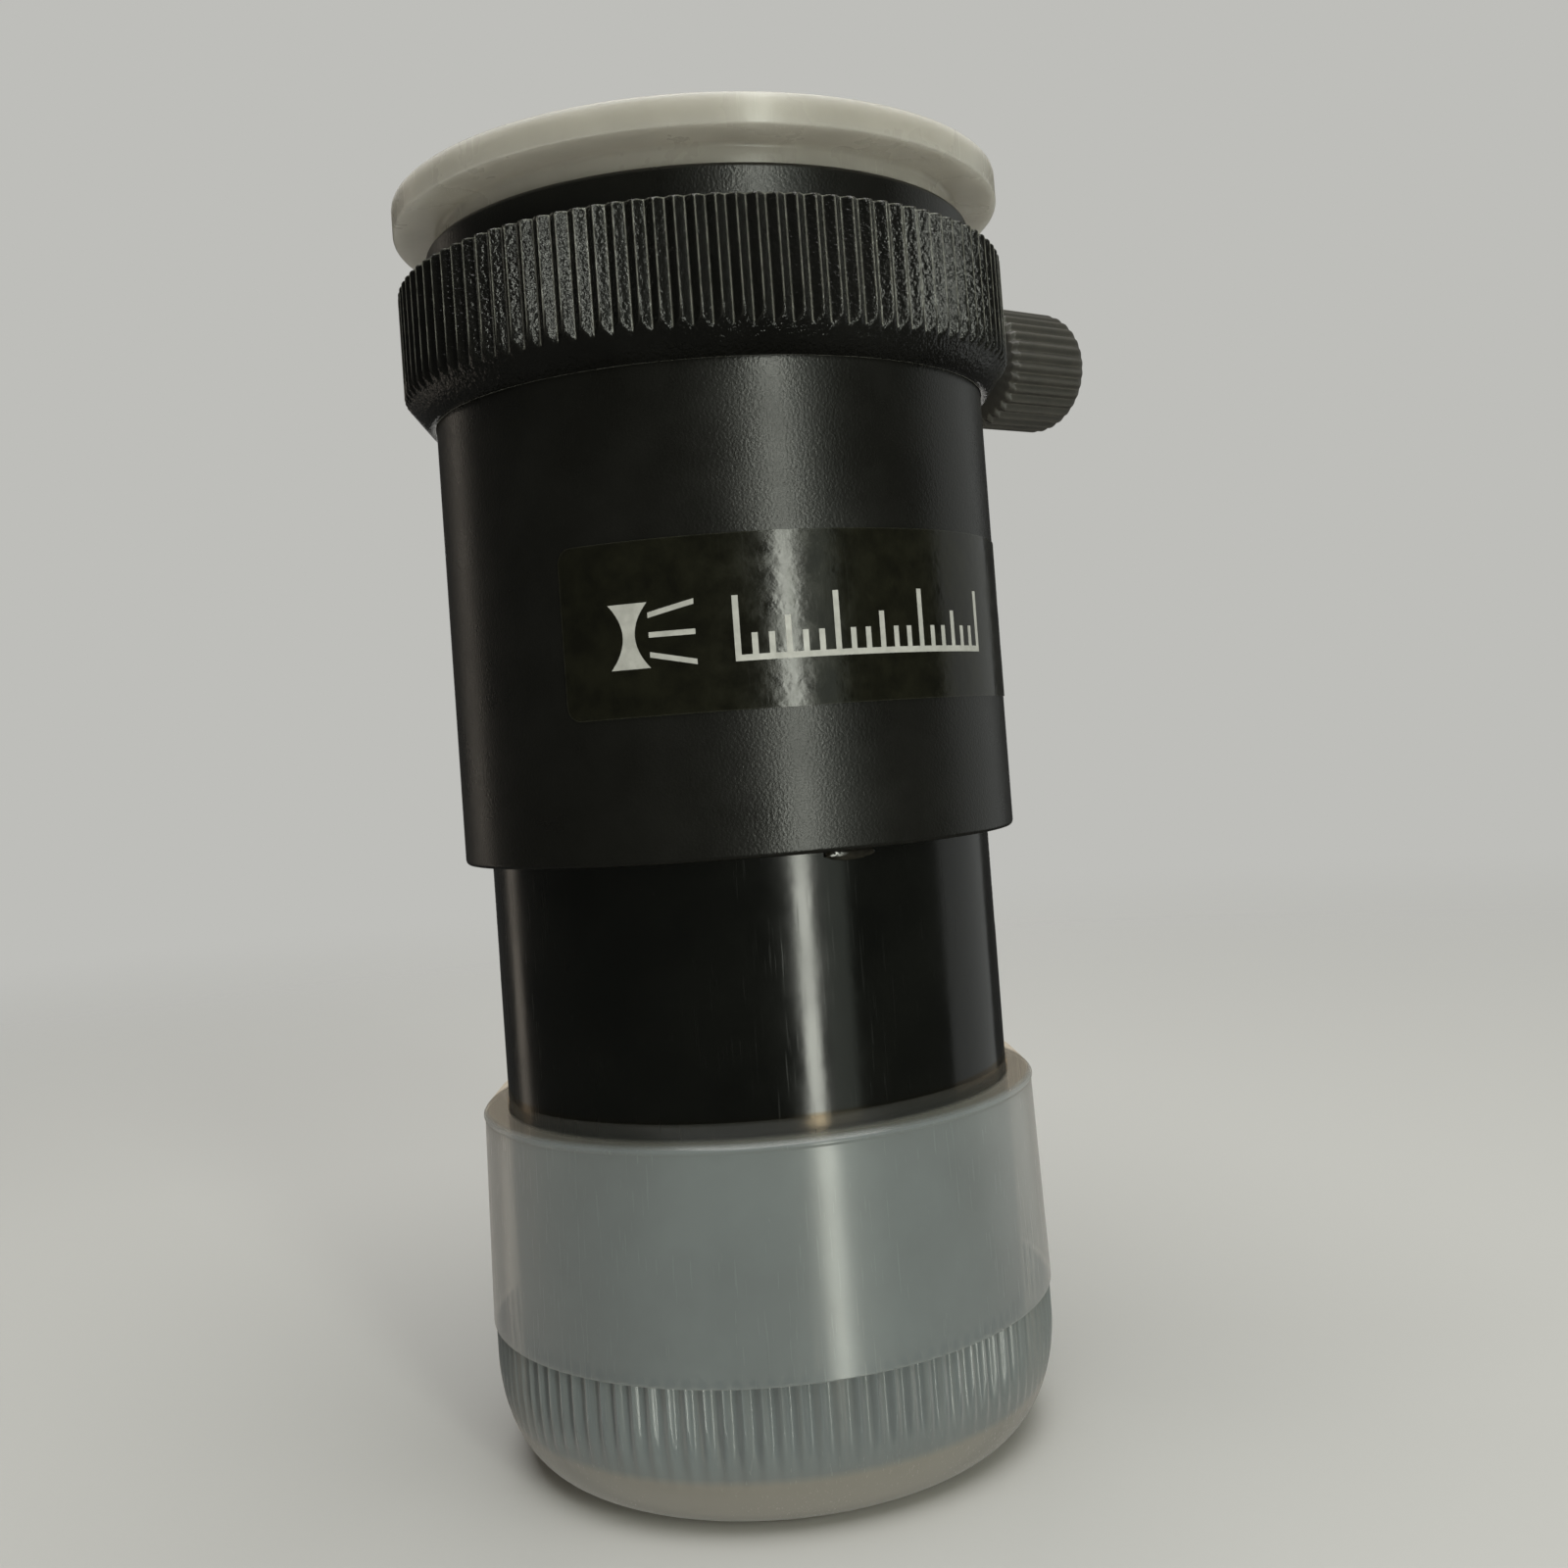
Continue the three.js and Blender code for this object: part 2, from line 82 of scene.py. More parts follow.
# Edges that bend less than this many degrees are shaded smooth; a fine rib's flanks bend more.
SMOOTH_BELOW = 38.0
RIBS_SMOOTH_BELOW = 50.0

# The sRGB curve: a straight toe up to the knee, then an offset power.
SRGB_KNEE = 0.04045
SRGB_TOE = 12.92
SRGB_OFFSET = 0.055
SRGB_POWER = 2.4

# The Mix node keeps its colour sockets after those of its other types.
MIX_A = 6
MIX_B = 7
MIX_RESULT = 2

# Noise gathers round a half, so these stretches of it are spread over the whole range.
CLOUD_SPREAD = {"From Min": 0.35, "From Max": 0.65}
HAIR_SPREAD = {"From Min": 0.62, "From Max": 0.7}
# The cosine between the rounded normal and the face's own, from open wall to sharp edge.
EDGE_SPREAD = {"From Min": 0.995, "From Max": 0.9}
# Hairlines lean a little off the axis and run along it; tool and flow lines run round it.
HAIR_LAY = {"Rotation": (0.2, 0.12, 0.0), "Scale": (1.0, 1.0, 0.03)}
LINE_LAY = {"Scale": (0.05, 0.05, 1.0)}
# Rubbed paint comes away, and the painted edge highlights break up,
# in patches this many times as large as the edge is wide.
WEAR_AND_HIGHLIGHT_PATCH = 4

Tree = bpy.types.NodeTree
Output = bpy.types.NodeSocket
Wave = Callable[[float, float], float]


class Body(Enum):
    """The moving bodies that a piece may ride on."""

    BARLOW = "barlow"
    PLUG = "top_plug"
    CAP = "lower_cap"
    TIP = "screw_tip"
    THUMBSCREW = "thumbscrew"


# ---- Finishes --------------------------------------------------------------------------------


def linear(code: str) -> tuple[float, float, float, float]:
    """Turn an sRGB hex colour into linear light.

    Args:
        code: The colour as #rrggbb.

    Returns:
        Red, green, blue and a full alpha.
    """
    parts = (int(code[i : i + 2], 16) / 255 for i in (1, 3, 5))
    curve = (
        c / SRGB_TOE if c <= SRGB_KNEE else ((c + SRGB_OFFSET) / (1 + SRGB_OFFSET)) ** SRGB_POWER
        for c in parts
    )
    return (*curve, 1.0)


def per_metre(size_mm: float) -> float:
    """Give the texture scale whose features are about this many millimetres across."""
    return 1 / (size_mm * MM)


def node(tree: Tree, kind: str, settings: dict, links: dict | None = None) -> bpy.types.Node:
    """Add a shader node.

    Args:
        tree: The node tree to add it to.
        kind: The shader node's type, such as Bump.
        settings: Values for its sockets, by name or number, and for its own properties.
        links: Output sockets to join to its sockets, by name or number.

    Returns:
        The node.
    """
    made = tree.nodes.new("ShaderNode" + kind)
    for key, value in settings.items():
        if isinstance(key, str) and key not in made.inputs:
            setattr(made, key, value)
    for key, value in settings.items():
        if not isinstance(key, str) or key in made.inputs:
            made.inputs[key].default_value = value
    for key, source in (links or {}).items():
        tree.links.new(source, made.inputs[key])
    return made


def emptied(owner: bpy.types.Material | bpy.types.World) -> Tree:
    """Switch on the nodes of a material or a world and clear them away."""
    owner.use_nodes = True
    owner.node_tree.nodes.clear()
    return owner.node_tree


@dataclass(frozen=True)
class Finish:
    """A material with mottled colour and gloss, a grain, and paler edges, partly wear and partly
    painted highlight.

    The colours are sRGB hex, the sizes millimetres. roughness is the least and the most that the
    mottle reaches. lines_mm, where it isn't 0, is the spacing of tool or flow lines round the axis.
    scratch is how much rougher the hairlines are, and scratch_mm is their width.

    A veil under 1 makes a milky wall: each face scatters that share of the light and passes the
    rest straight on, tinted by passed. Above clear_above_mm, where it isn't 0, the veil thins to
    clear_veil. Below foot_below_mm the wall is thicker, with foot_veil as its veil, and takes foot
    as its colour: a paler, warmer colour painted in for light glowing through the base.
    """

    name: str
    colour: str
    mottled: str
    edge_wear_and_highlight_colour: str
    roughness: tuple[float, float]
    mottle_mm: float = 6.0
    grain_mm: float = 0.2
    grain_height_mm: float = 0.01
    lines_mm: float = 0.0
    line_height_mm: float = 0.0
    edge_mm: float = 0.25
    edge_wear_and_highlight: float = 0.6
    metallic: float = 0.0
    ior: float = 1.5
    specular: float = 0.5
    transmission: float = 0.0
    subsurface: float = 0.0
    subsurface_mm: float = 1.0
    coat: float = 0.0
    coat_roughness: float = 0.1
    film_nm: float = 0.0
    sheen: float = 0.0
    scratch: float = 0.0
    scratch_mm: float = 0.12
    veil: float = 1.0
    passed: str = "#ffffff"
    clear_above_mm: float = 0.0
    clear_fade_mm: float = 0.25
    clear_veil: float = 0.3
    foot: str = ""
    foot_below_mm: float = 0.0
    foot_veil: float = 1.0

    def material(self) -> bpy.types.Material:
        """Build the material's nodes.

        Returns:
            The material, named for this finish.
        """
        made = bpy.data.materials.new(self.name)
        tree = emptied(made)
        place = node(tree, "TexCoord", {}).outputs["Object"]
        mottle = self.mottle(tree, place)
        settings = {
            "Metallic": self.metallic,
            "IOR": self.ior,
            "Specular IOR Level": self.specular,
            "Transmission Weight": self.transmission,
            "Subsurface Weight": self.subsurface,
            "Subsurface Radius": (1.0, 1.0, 1.0),
            "Subsurface Scale": self.subsurface_mm * MM,
            "Coat Weight": self.coat,
            "Coat Roughness": self.coat_roughness,
            "Sheen Weight": self.sheen,
            "Thin Film Thickness": self.film_nm,
        }
        links = {
            "Base Color": self.paint(tree, place, mottle),
            "Roughness": self.gloss(tree, place, mottle),
            "Normal": self.relief(tree, place),
        }
        surface = node(tree, "BsdfPrincipled", settings, links).outputs[0]
        if self.veil < 1:
            surface = self.veiled(tree, place, surface)
        node(tree, "OutputMaterial", {}, {"Surface": surface})
        return made

    def mottle(self, tree: Tree, place: Output) -> Output:
        """Soft cloudy variation, from 0 to 1."""
        size = {"Scale": per_metre(self.mottle_mm), "Detail": 4.0, "Roughness": 0.6}
        clouds = node(tree, "TexNoise", size, {"Vector": place}).outputs["Fac"]
        return node(tree, "MapRange", CLOUD_SPREAD, {"Value": clouds}).outputs[0]

    def veiled(self, tree: Tree, place: Output, surface: Output) -> Output:
        """Let light through a milky wall: each face scatters a share of it and passes the rest.

        Args:
            tree: The material's nodes.
            place: Object coordinates.
            surface: The scattering face's shader.

        Returns:
            The mixed shader, clearer at a polished lip and milkier in the foot, where the wall is
            thicker.
        """
        through = node(tree, "BsdfTransparent", {"Color": linear(self.passed)})
        links = {1: through.outputs[0], 2: surface}
        if not self.clear_above_mm:
            return node(tree, "MixShader", {0: self.veil}, links).outputs[0]
        height = node(tree, "SeparateXYZ", {}, {0: place}).outputs["Z"]
        rise = {
            "From Min": self.clear_above_mm * MM,
            "From Max": (self.clear_above_mm + self.clear_fade_mm) * MM,
            "To Max": self.clear_veil,
        }
        thickening = self.foot_range() | {"To Min": self.foot_veil, "To Max": self.veil}
        lower = node(tree, "MapRange", thickening, {"Value": height}).outputs[0]
        upper = node(tree, "MapRange", rise, {"Value": height, "To Min": lower})
        links[0] = upper.outputs[0]
        return node(tree, "MixShader", {}, links).outputs[0]

    def foot_range(self) -> dict[str, float]:
        """The heights between which the foot, where the wall is thicker, gives way to the thinner
        wall.
        """
        top_mm = self.foot_below_mm + self.clear_fade_mm * 2
        return {"From Min": self.foot_below_mm * MM, "From Max": top_mm * MM}

    def edges(self, tree: Tree) -> Output:
        """How near an edge the surface is, from 0 on open walls to 1 on a sharp edge, where the
        paler edge colour goes.
        """
        rounded = node(tree, "Bevel", {"samples": 4, "Radius": self.edge_mm * MM}).outputs[0]
        plain = node(tree, "NewGeometry", {}).outputs["Normal"]
        facing = node(tree, "VectorMath", {"operation": "DOT_PRODUCT"}, {0: rounded, 1: plain})
        return node(tree, "MapRange", EDGE_SPREAD, {"Value": facing.outputs["Value"]}).outputs[0]

    def paint(self, tree: Tree, place: Output, mottle: Output) -> Output:
        """The colour: mottled on open walls, then the foot's painted glow of light through the
        base, then the paler edge colour, partly wear and partly painted highlight.

        Args:
            tree: The material's nodes.
            place: Object coordinates.
            mottle: The cloudy variation.

        Returns:
            A colour socket.
        """
        walls = {"data_type": "RGBA", MIX_A: linear(self.colour), MIX_B: linear(self.mottled)}
        colour = node(tree, "Mix", walls, {"Factor": mottle}).outputs[MIX_RESULT]
        if self.foot:
            height = node(tree, "SeparateXYZ", {}, {0: place}).outputs["Z"]
            share = node(tree, "MapRange", self.foot_range(), {"Value": height}).outputs[0]
            # The foot's colour is a paler, warmer colour painted in for light glowing through the
            # base.
            painted_glow_foot = {"data_type": "RGBA", MIX_A: linear(self.foot)}
            colour = node(
                tree, "Mix", painted_glow_foot, {"Factor": share, MIX_B: colour}
            ).outputs[MIX_RESULT]
        if not self.edge_wear_and_highlight:
            return colour
        size = {"Scale": per_metre(self.edge_mm * WEAR_AND_HIGHLIGHT_PATCH), "Detail": 3.0}
        patchy = node(tree, "TexNoise", size, {"Vector": place}).outputs["Fac"]
        by = {"operation": "MULTIPLY"}
        # Edges and crests take the paler edge colour in patches: rubbed wear, and on some finishes
        # a painted highlight.
        wear_and_highlight_patches = node(tree, "Math", by, {0: self.edges(tree), 1: patchy}).outputs[0]
        share = node(tree, "Math", by | {1: self.edge_wear_and_highlight}, {0: wear_and_highlight_patches}).outputs[0]
        edge_wear_and_highlight_colour = {"data_type": "RGBA", MIX_B: linear(self.edge_wear_and_highlight_colour)}
        return node(
            tree, "Mix", edge_wear_and_highlight_colour, {"Factor": share, MIX_A: colour}
        ).outputs[MIX_RESULT]

    def gloss(self, tree: Tree, place: Output, mottle: Output) -> Output:
        """Roughness that follows the mottle, with dull hairlines where the finish is scratched.

        Args:
            tree: The material's nodes.
            place: Object coordinates.
            mottle: The cloudy variation.

        Returns:
            A roughness socket.
        """
        spread = {"To Min": self.roughness[0], "To Max": self.roughness[1]}
        plain = node(tree, "MapRange", spread, {"Value": mottle}).outputs[0]
        if not self.scratch:
            return plain
        along = node(tree, "Mapping", HAIR_LAY, {"Vector": place}).outputs[0]
        size = {"Scale": per_metre(self.scratch_mm), "Detail": 2.0}
        hairs = node(tree, "TexNoise", size, {"Vector": along}).outputs["Fac"]
        sparse = HAIR_SPREAD | {"To Max": self.scratch}
        marks = node(tree, "MapRange", sparse, {"Value": hairs}).outputs[0]
        total = {"operation": "ADD", "use_clamp": True}
        return node(tree, "Math", total, {0: plain, 1: marks}).outputs[0]

    def relief(self, tree: Tree, place: Output) -> Output:
        """Bump from the grain, then from lines round the axis where the finish has them.

        Args:
            tree: The material's nodes.
            place: Object coordinates.

        Returns:
            A normal socket.
        """
        size = {"Scale": per_metre(self.grain_mm), "Detail": 2.0, "Roughness": 0.5}
        grain = node(tree, "TexNoise", size, {"Vector": place}).outputs["Fac"]
        rise = {"Strength": 1.0, "Distance": self.grain_height_mm * MM}
        bump = node(tree, "Bump", rise, {"Height": grain}).outputs[0]
        if not self.lines_mm:
            return bump
        along = node(tree, "Mapping", LINE_LAY, {"Vector": place}).outputs[0]
        size = {"Scale": per_metre(self.lines_mm), "Detail": 3.0}
        lines = node(tree, "TexNoise", size, {"Vector": along}).outputs["Fac"]
        rise = {"Strength": 1.0, "Distance": self.line_height_mm * MM}
        return node(tree, "Bump", rise, {"Height": lines, "Normal": bump}).outputs[0]


# ABS moulded in a spark-eroded tool: near black, satin, with a fine glitter in its highlights.
SATIN_ABS = Finish(
    "satin_moulded_abs", "#12120f", "#171714", "#34342f", (0.26, 0.33),
    grain_mm=0.16, grain_height_mm=0.018, scratch=0.02,
)
# The same ABS from a coarser tool: gritty sparkle on the flanks, and paler crests that are partly
# rubbed wear and partly a painted highlight along each crest.
TEXTURED_ABS = Finish(
    "textured_moulded_abs", "#0e0e0c", "#141412", "#b4b4a9", (0.15, 0.26),
    grain_mm=0.24, grain_height_mm=0.09, edge_mm=0.16, edge_wear_and_highlight=1.0,
)
# ABS from a polished tool: wet black gloss with a slow waviness from shrinkage and dull hairlines.
GLOSS_ABS = Finish(
    "polished_moulded_abs", "#0b0c0a", "#11120f", "#30302d", (0.12, 0.21),
    mottle_mm=9.0, grain_mm=1.6, grain_height_mm=0.009, edge_wear_and_highlight=0.4, scratch=0.12,
)
# Polyester film: glossier than the tube, with a faint olive cast and the ripple of its adhesive.
# Its paler edges are a painted highlight along the film's cut edges.
LABEL_FILM = Finish(
    "polyester_film", "#11110b", "#1a1a11", "#3c3c35", (0.13, 0.22),
    mottle_mm=1.5, grain_mm=0.5, grain_height_mm=0.012, edge_mm=0.12, edge_wear_and_highlight=1.0, scratch=0.04,
)
# Screen-printed white ink, slightly broken in its gloss and thin in places.
INK = Finish(
    "white_screen_ink", "#bdbdb7", "#a9a9a3", "#bdbdb7", (0.35, 0.5),
    mottle_mm=0.8, grain_mm=0.15, grain_height_mm=0.004, edge_wear_and_highlight=0.0,
)
# Low density polyethylene, thick enough to look milky: waxy, with light glowing through it.
WAXY_POLYETHYLENE = Finish(
    "waxy_polyethylene", "#b4b1a8", "#aaa79e", "#c0bdb4", (0.22, 0.34),
    mottle_mm=7.0, grain_mm=0.5, grain_height_mm=0.008, lines_mm=0.5, line_height_mm=0.006,
    subsurface=0.9, subsurface_mm=4.0, edge_wear_and_highlight=0.3, scratch=0.06, veil=0.85, passed="#fffaf0",
)
# The same in a thinner wall: cool where it scatters, warm where light passes, clear at its lip.
# Its paler edges are partly wear and partly a painted glint along the lip's bead.
CLEAR_POLYETHYLENE = Finish(
    "thin_wall_polyethylene", "#7d8586", "#757c7d", "#9aa2a2", (0.19, 0.27),
    mottle_mm=8.0, grain_mm=0.8, grain_height_mm=0.004, lines_mm=0.6, line_height_mm=0.005,
    edge_wear_and_highlight=0.5, scratch=0.06, sheen=0.5, coat=0.6, coat_roughness=0.2, veil=0.68, passed="#fff8ee",
    # Its foot colour is a painted glow of light coming through the base.
    clear_above_mm=21.4, clear_veil=0.06, foot="#8d8a82", foot_below_mm=3.1, foot_veil=0.74,
)
# Moulded nylon, left matt: dark warm grey, dry to the eye, with paler rubbed ribs.
KNOB_PLASTIC = Finish(
    "matt_moulded_nylon", "#45433e", "#3b3a36", "#77746c", (0.42, 0.55),
    mottle_mm=2.5, grain_mm=0.2, grain_height_mm=0.012, edge_wear_and_highlight=0.9,
)
# Zinc-plated steel with a rolled thread: bright, slightly blue and brushed along its lay.
PLATED_STEEL = Finish(
    "zinc_plated_steel", "#a9acae", "#93979a", "#c9cbcc", (0.22, 0.36),
    mottle_mm=1.5, grain_mm=0.15, grain_height_mm=0.003, metallic=1.0,
)
# Turned brass: warm, with fine tool lines.
TURNED_BRASS = Finish(
    "turned_brass", "#c09a52", "#a98544", "#dcbc7a", (0.22, 0.36),
    mottle_mm=1.5, grain_mm=0.12, grain_height_mm=0.003, lines_mm=0.15, line_height_mm=0.004,
    metallic=1.0,
)
# Moulded natural nylon: cream, waxy and a little translucent.
NATURAL_NYLON = Finish(
    "natural_nylon", "#dcd8c8", "#cfcaba", "#ece9dd", (0.35, 0.48),
    mottle_mm=1.0, grain_mm=0.2, grain_height_mm=0.004, subsurface=0.4, subsurface_mm=0.6,
)
# Black anodised aluminium: a soft charcoal sheen over turning lines, bare at rubbed edges.
ANODISED_ALUMINIUM = Finish(
    "black_anodised_aluminium", "#1c1c1e", "#242427", "#7d7f82", (0.32, 0.45),
    mottle_mm=4.0, grain_mm=0.12, grain_height_mm=0.003, lines_mm=0.2, line_height_mm=0.006,
    metallic=0.6, edge_wear_and_highlight=0.5,
)
# Matt blacking paint: almost no reflection at all, so the light stops look empty.
BLACKING = Finish(
    "matt_blacking", "#0c0c0c", "#131313", "#1c1c1c", (0.85, 0.95),
    mottle_mm=2.0, grain_mm=0.25, grain_height_mm=0.03, specular=0.2,
)
# Crown glass with a single magnesium fluoride layer: clear with a straw and violet reflection.
CROWN_GLASS = Finish(
    "coated_crown_glass", "#f4f8f5", "#eef4f1", "#e0e8e4", (0.005, 0.02),
    mottle_mm=3.0, grain_mm=4.0, grain_height_mm=0.0005, ior=1.52, transmission=1.0,
    film_nm=100.0, edge_wear_and_highlight=0.2,
)
# Flint glass: denser, with a stronger surface reflection.
FLINT_GLASS = Finish(
    "coated_flint_glass", "#f6f7f0", "#f0f2ea", "#e4e6dc", (0.005, 0.02),
    mottle_mm=3.0, grain_mm=4.0, grain_height_mm=0.0005, ior=1.62, transmission=1.0,
    film_nm=100.0, edge_wear_and_highlight=0.2,
)
# Cured contact adhesive squeezed out of the joint: dark, wet and lumpy.
ADHESIVE = Finish(
    "cured_adhesive", "#141310", "#2a2821", "#2a2821", (0.1, 0.25),
    mottle_mm=0.6, grain_mm=0.3, grain_height_mm=0.02, coat=0.5, edge_wear_and_highlight=0.2,
)


# ---- Mesh work -------------------------------------------------------------------------------


@dataclass(frozen=True)
class Corner:
    """A corner of a turned outline, in mm: its radius, its height and how far it is rounded."""

    r: float
    z: float
    rounded: float = 0.0


def quarter(
    middle: Corner, width: float, height: float, start: float, end: float, steps: int
) -> list[Corner]:
    """Corners along a quarter of an ellipse.

    Args:
        middle: The ellipse's centre.
        width: Its radius across.
        height: Its radius up.
        start: The first angle in degrees, from outward and positive upward.
        end: The last angle.
        steps: How many stretches it is made of.

    Returns:
        The corners in order, both ends included.
    """
    angles = [math.radians(start + (end - start) * i / steps) for i in range(steps + 1)]
    return [Corner(middle.r + width * math.cos(a), middle.z + height * math.sin(a)) for a in angles]


def turned(corners: list[Corner], segments: int = ROUND_SEGMENTS, round_steps: int = 3) -> BMesh:
    """Spin an outline round Z and round its corners.

    Args:
        corners: The outline, from axis to axis, or a loop that closes on itself.
        segments: How many facets the circle has.
        round_steps: How many facets each rounded corner has.

    Returns:
        A closed shape facing out, in mm.
    """
    shape = bmesh.new()
    points = [shape.verts.new((c.r, 0.0, c.z)) for c in corners]
    lines = [shape.edges.new(pair) for pair in zip(points, points[1:])]
    if corners[0].r > 0:
        lines.append(shape.edges.new((points[-1], points[0])))
    bmesh.ops.spin(
        shape, geom=points + lines, cent=(0, 0, 0), axis=(0, 0, 1), angle=math.tau,
        steps=segments, use_merge=True,
    )
    bmesh.ops.remove_doubles(shape, verts=shape.verts, dist=WELD_MM)
    bmesh.ops.recalc_face_normals(shape, faces=shape.faces)
    for corner in corners:
        if corner.rounded:
            bmesh.ops.bevel(
                shape, geom=hoop(shape, corner), offset=corner.rounded, offset_type="OFFSET",
                affect="EDGES", segments=round_steps, profile=0.5, material=-1, clamp_overlap=True,
            )
    return shape


def hoop(shape: BMesh, corner: Corner) -> list[bmesh.types.BMEdge]:
    """The ring of edges that a corner has drawn round the axis."""

    def on_corner(vert: bmesh.types.BMVert) -> bool:
        """Tell whether a vertex lies on the corner's circle."""
        near = abs(vert.co.z - corner.z) < ON_CIRCLE_MM
        return near and abs(math.hypot(vert.co.x, vert.co.y) - corner.r) < ON_CIRCLE_MM

    return [edge for edge in shape.edges if all(on_corner(v) for v in edge.verts)]


def sliced(shape: BMesh, axis: Vector, places: Iterable[float]) -> BMesh:
    """Add edges across a shape at these places along an axis, so that it can be bent there."""
    for place in places:
        every = [*shape.verts, *shape.edges, *shape.faces]
        bmesh.ops.bisect_plane(
            shape, geom=every, dist=WELD_MM, plane_co=axis * place, plane_no=axis
        )
    return shape


def ringed(shape: BMesh, heights: Iterable[float]) -> BMesh:
    """Add rings of edges round a turned shape at these heights."""
    return sliced(shape, Vector((0, 0, 1)), heights)


def spaced(low: float, high: float, step: float) -> list[float]:
    """Evenly spaced values from low to high, about step apart."""
    count = max(1, round((high - low) / step))
    return [low + (high - low) * i / count for i in range(count + 1)]


@dataclass(frozen=True)
class Zone:
    """A band of a turned piece, in mm, and how a pattern fades in at its ends."""

    low: float
    high: float
    least_r: float
    most_r: float
    fade_low: float = 0.0
    fade_high: float = 0.0

    def share(self, r: float, z: float) -> float:
        """Tell how much of the pattern a point takes.

        Args:
            r: The point's distance from the axis.
            z: Its height.

        Returns:
            A share from 0 outside the zone to 1 well inside it.
        """
        if not (self.least_r <= r <= self.most_r and self.low <= z <= self.high):
            return 0.0
        rise = (z - self.low) / self.fade_low if self.fade_low else 1.0
        fall = (self.high - z) / self.fade_high if self.fade_high else 1.0
        part = min(1.0, rise, fall)
        return part * part * (3 - 2 * part)


def pressed(shape: BMesh, zone: Zone, depth: float, wave: Wave) -> BMesh:
    """Press a pattern into a turned wall.

    Args:
        shape: The turned shape.
        zone: Where the pattern lies.
        depth: How far it goes in, in mm; negative goes away from the axis.
        wave: Gives the share of the depth, from 0 to 1, for an angle and a height.

    Returns:
        The same shape.
    """
    for vert in shape.verts:
        r = math.hypot(vert.co.x, vert.co.y)
        share = zone.share(r, vert.co.z)
        if share:
            angle = math.atan2(vert.co.y, vert.co.x)
            scale = 1 - depth * share * wave(angle, vert.co.z) / r
            vert.co.x *= scale
            vert.co.y *= scale
    return shape


def milled(shape: BMesh, r: float, depth: float, wave: Wave) -> BMesh:
    """Cut grooves as a mill would: nothing is left outside the cutter's path, on any wall.

    Args:
        shape: The turned shape.
        r: The radius of the ridges between the grooves.
        depth: How far the grooves go in.
        wave: Gives the share of the depth, from 0 to 1, for an angle and a height.

    Returns:
        The same shape.
    """
    for vert in shape.verts:
        here = math.hypot(vert.co.x, vert.co.y)
        most = r - depth * wave(math.atan2(vert.co.y, vert.co.x), vert.co.z)
        if here > most:
            vert.co.x *= most / here
            vert.co.y *= most / here
    return shape


def grooves(count: int, sharpness: float) -> Wave:
    """A wave for upright grooves between ridges; a higher sharpness thins the ridges."""

    def wave(angle: float, _height: float) -> float:
        """Depth at an angle, 0 on a ridge."""
        return 1 - ((1 + math.cos(count * angle)) / 2) ** sharpness

    return wave


def ridges(count: int, land: float) -> Wave:
    """A wave for straight-flanked ridges; land is the share of the pitch that is flat on top."""

    def wave(angle: float, _height: float) -> float:
        """Depth at an angle, 0 on a ridge."""
        slope = 1 - abs(2 * ((count * angle / math.tau) % 1) - 1)
        return min(1.0, max(0.0, (slope - land) / (1 - 2 * land)))

    return wave


def helix(pitch: float) -> Wave:
    """A wave for a screw thread of this pitch, with sharp flanks."""

    def wave(angle: float, height: float) -> float:
        """Depth at an angle and height, 0 on the crest."""
        turn = (height / pitch - angle / math.tau) % 1
        return min(1.0, max(0.0, THREAD_SLOPE * (1 - abs(2 * turn - 1)) - THREAD_CREST))

    return wave


def meshed(name: str, shape: BMesh) -> bpy.types.Mesh:
    """Turn a shape, which is used up, into a mesh."""
    mesh = bpy.data.meshes.new(name)
    shape.to_mesh(mesh)
    shape.free()
    return mesh


def placed(name: str, data: bpy.types.ID) -> bpy.types.Object:
    """Make an object of a mesh, a light or a camera and put it in the scene."""
    made = bpy.data.objects.new(name, data)
    bpy.context.scene.collection.objects.link(made)
    return made


def cut(shape: BMesh, cutter: BMesh) -> BMesh:
    """Take one closed shape away from another, both in mm.

    Args:
        shape: What is cut. It is used up.
        cutter: What is taken away. It is used up.

    Returns:
        The shape that is left.
    """
    work, tool = (placed("cutting", meshed("cutting", part)) for part in (shape, cutter))
    work.modifiers.new("cut", "BOOLEAN").object = tool
    work.modifiers["cut"].operation = "DIFFERENCE"
    work.modifiers["cut"].solver = "EXACT"
    result = bmesh.new()
    result.from_object(work, bpy.context.evaluated_depsgraph_get())
    for made in (work, tool):
        mesh = made.data
        bpy.data.objects.remove(made)
        bpy.data.meshes.remove(mesh)
    return result


def drill(radius: float, low: float, high: float, place: Matrix) -> BMesh:
    """A plain cutter along a piece's own Z, from low to high, set in place."""
    rod = bmesh.new()
    at_middle = place @ Matrix.Translation((0, 0, (low + high) / 2))
    bmesh.ops.create_cone(
        rod, cap_ends=True, segments=DRILL_SEGMENTS, radius1=radius, radius2=radius,
        depth=high - low, matrix=at_middle,
    )
    return rod


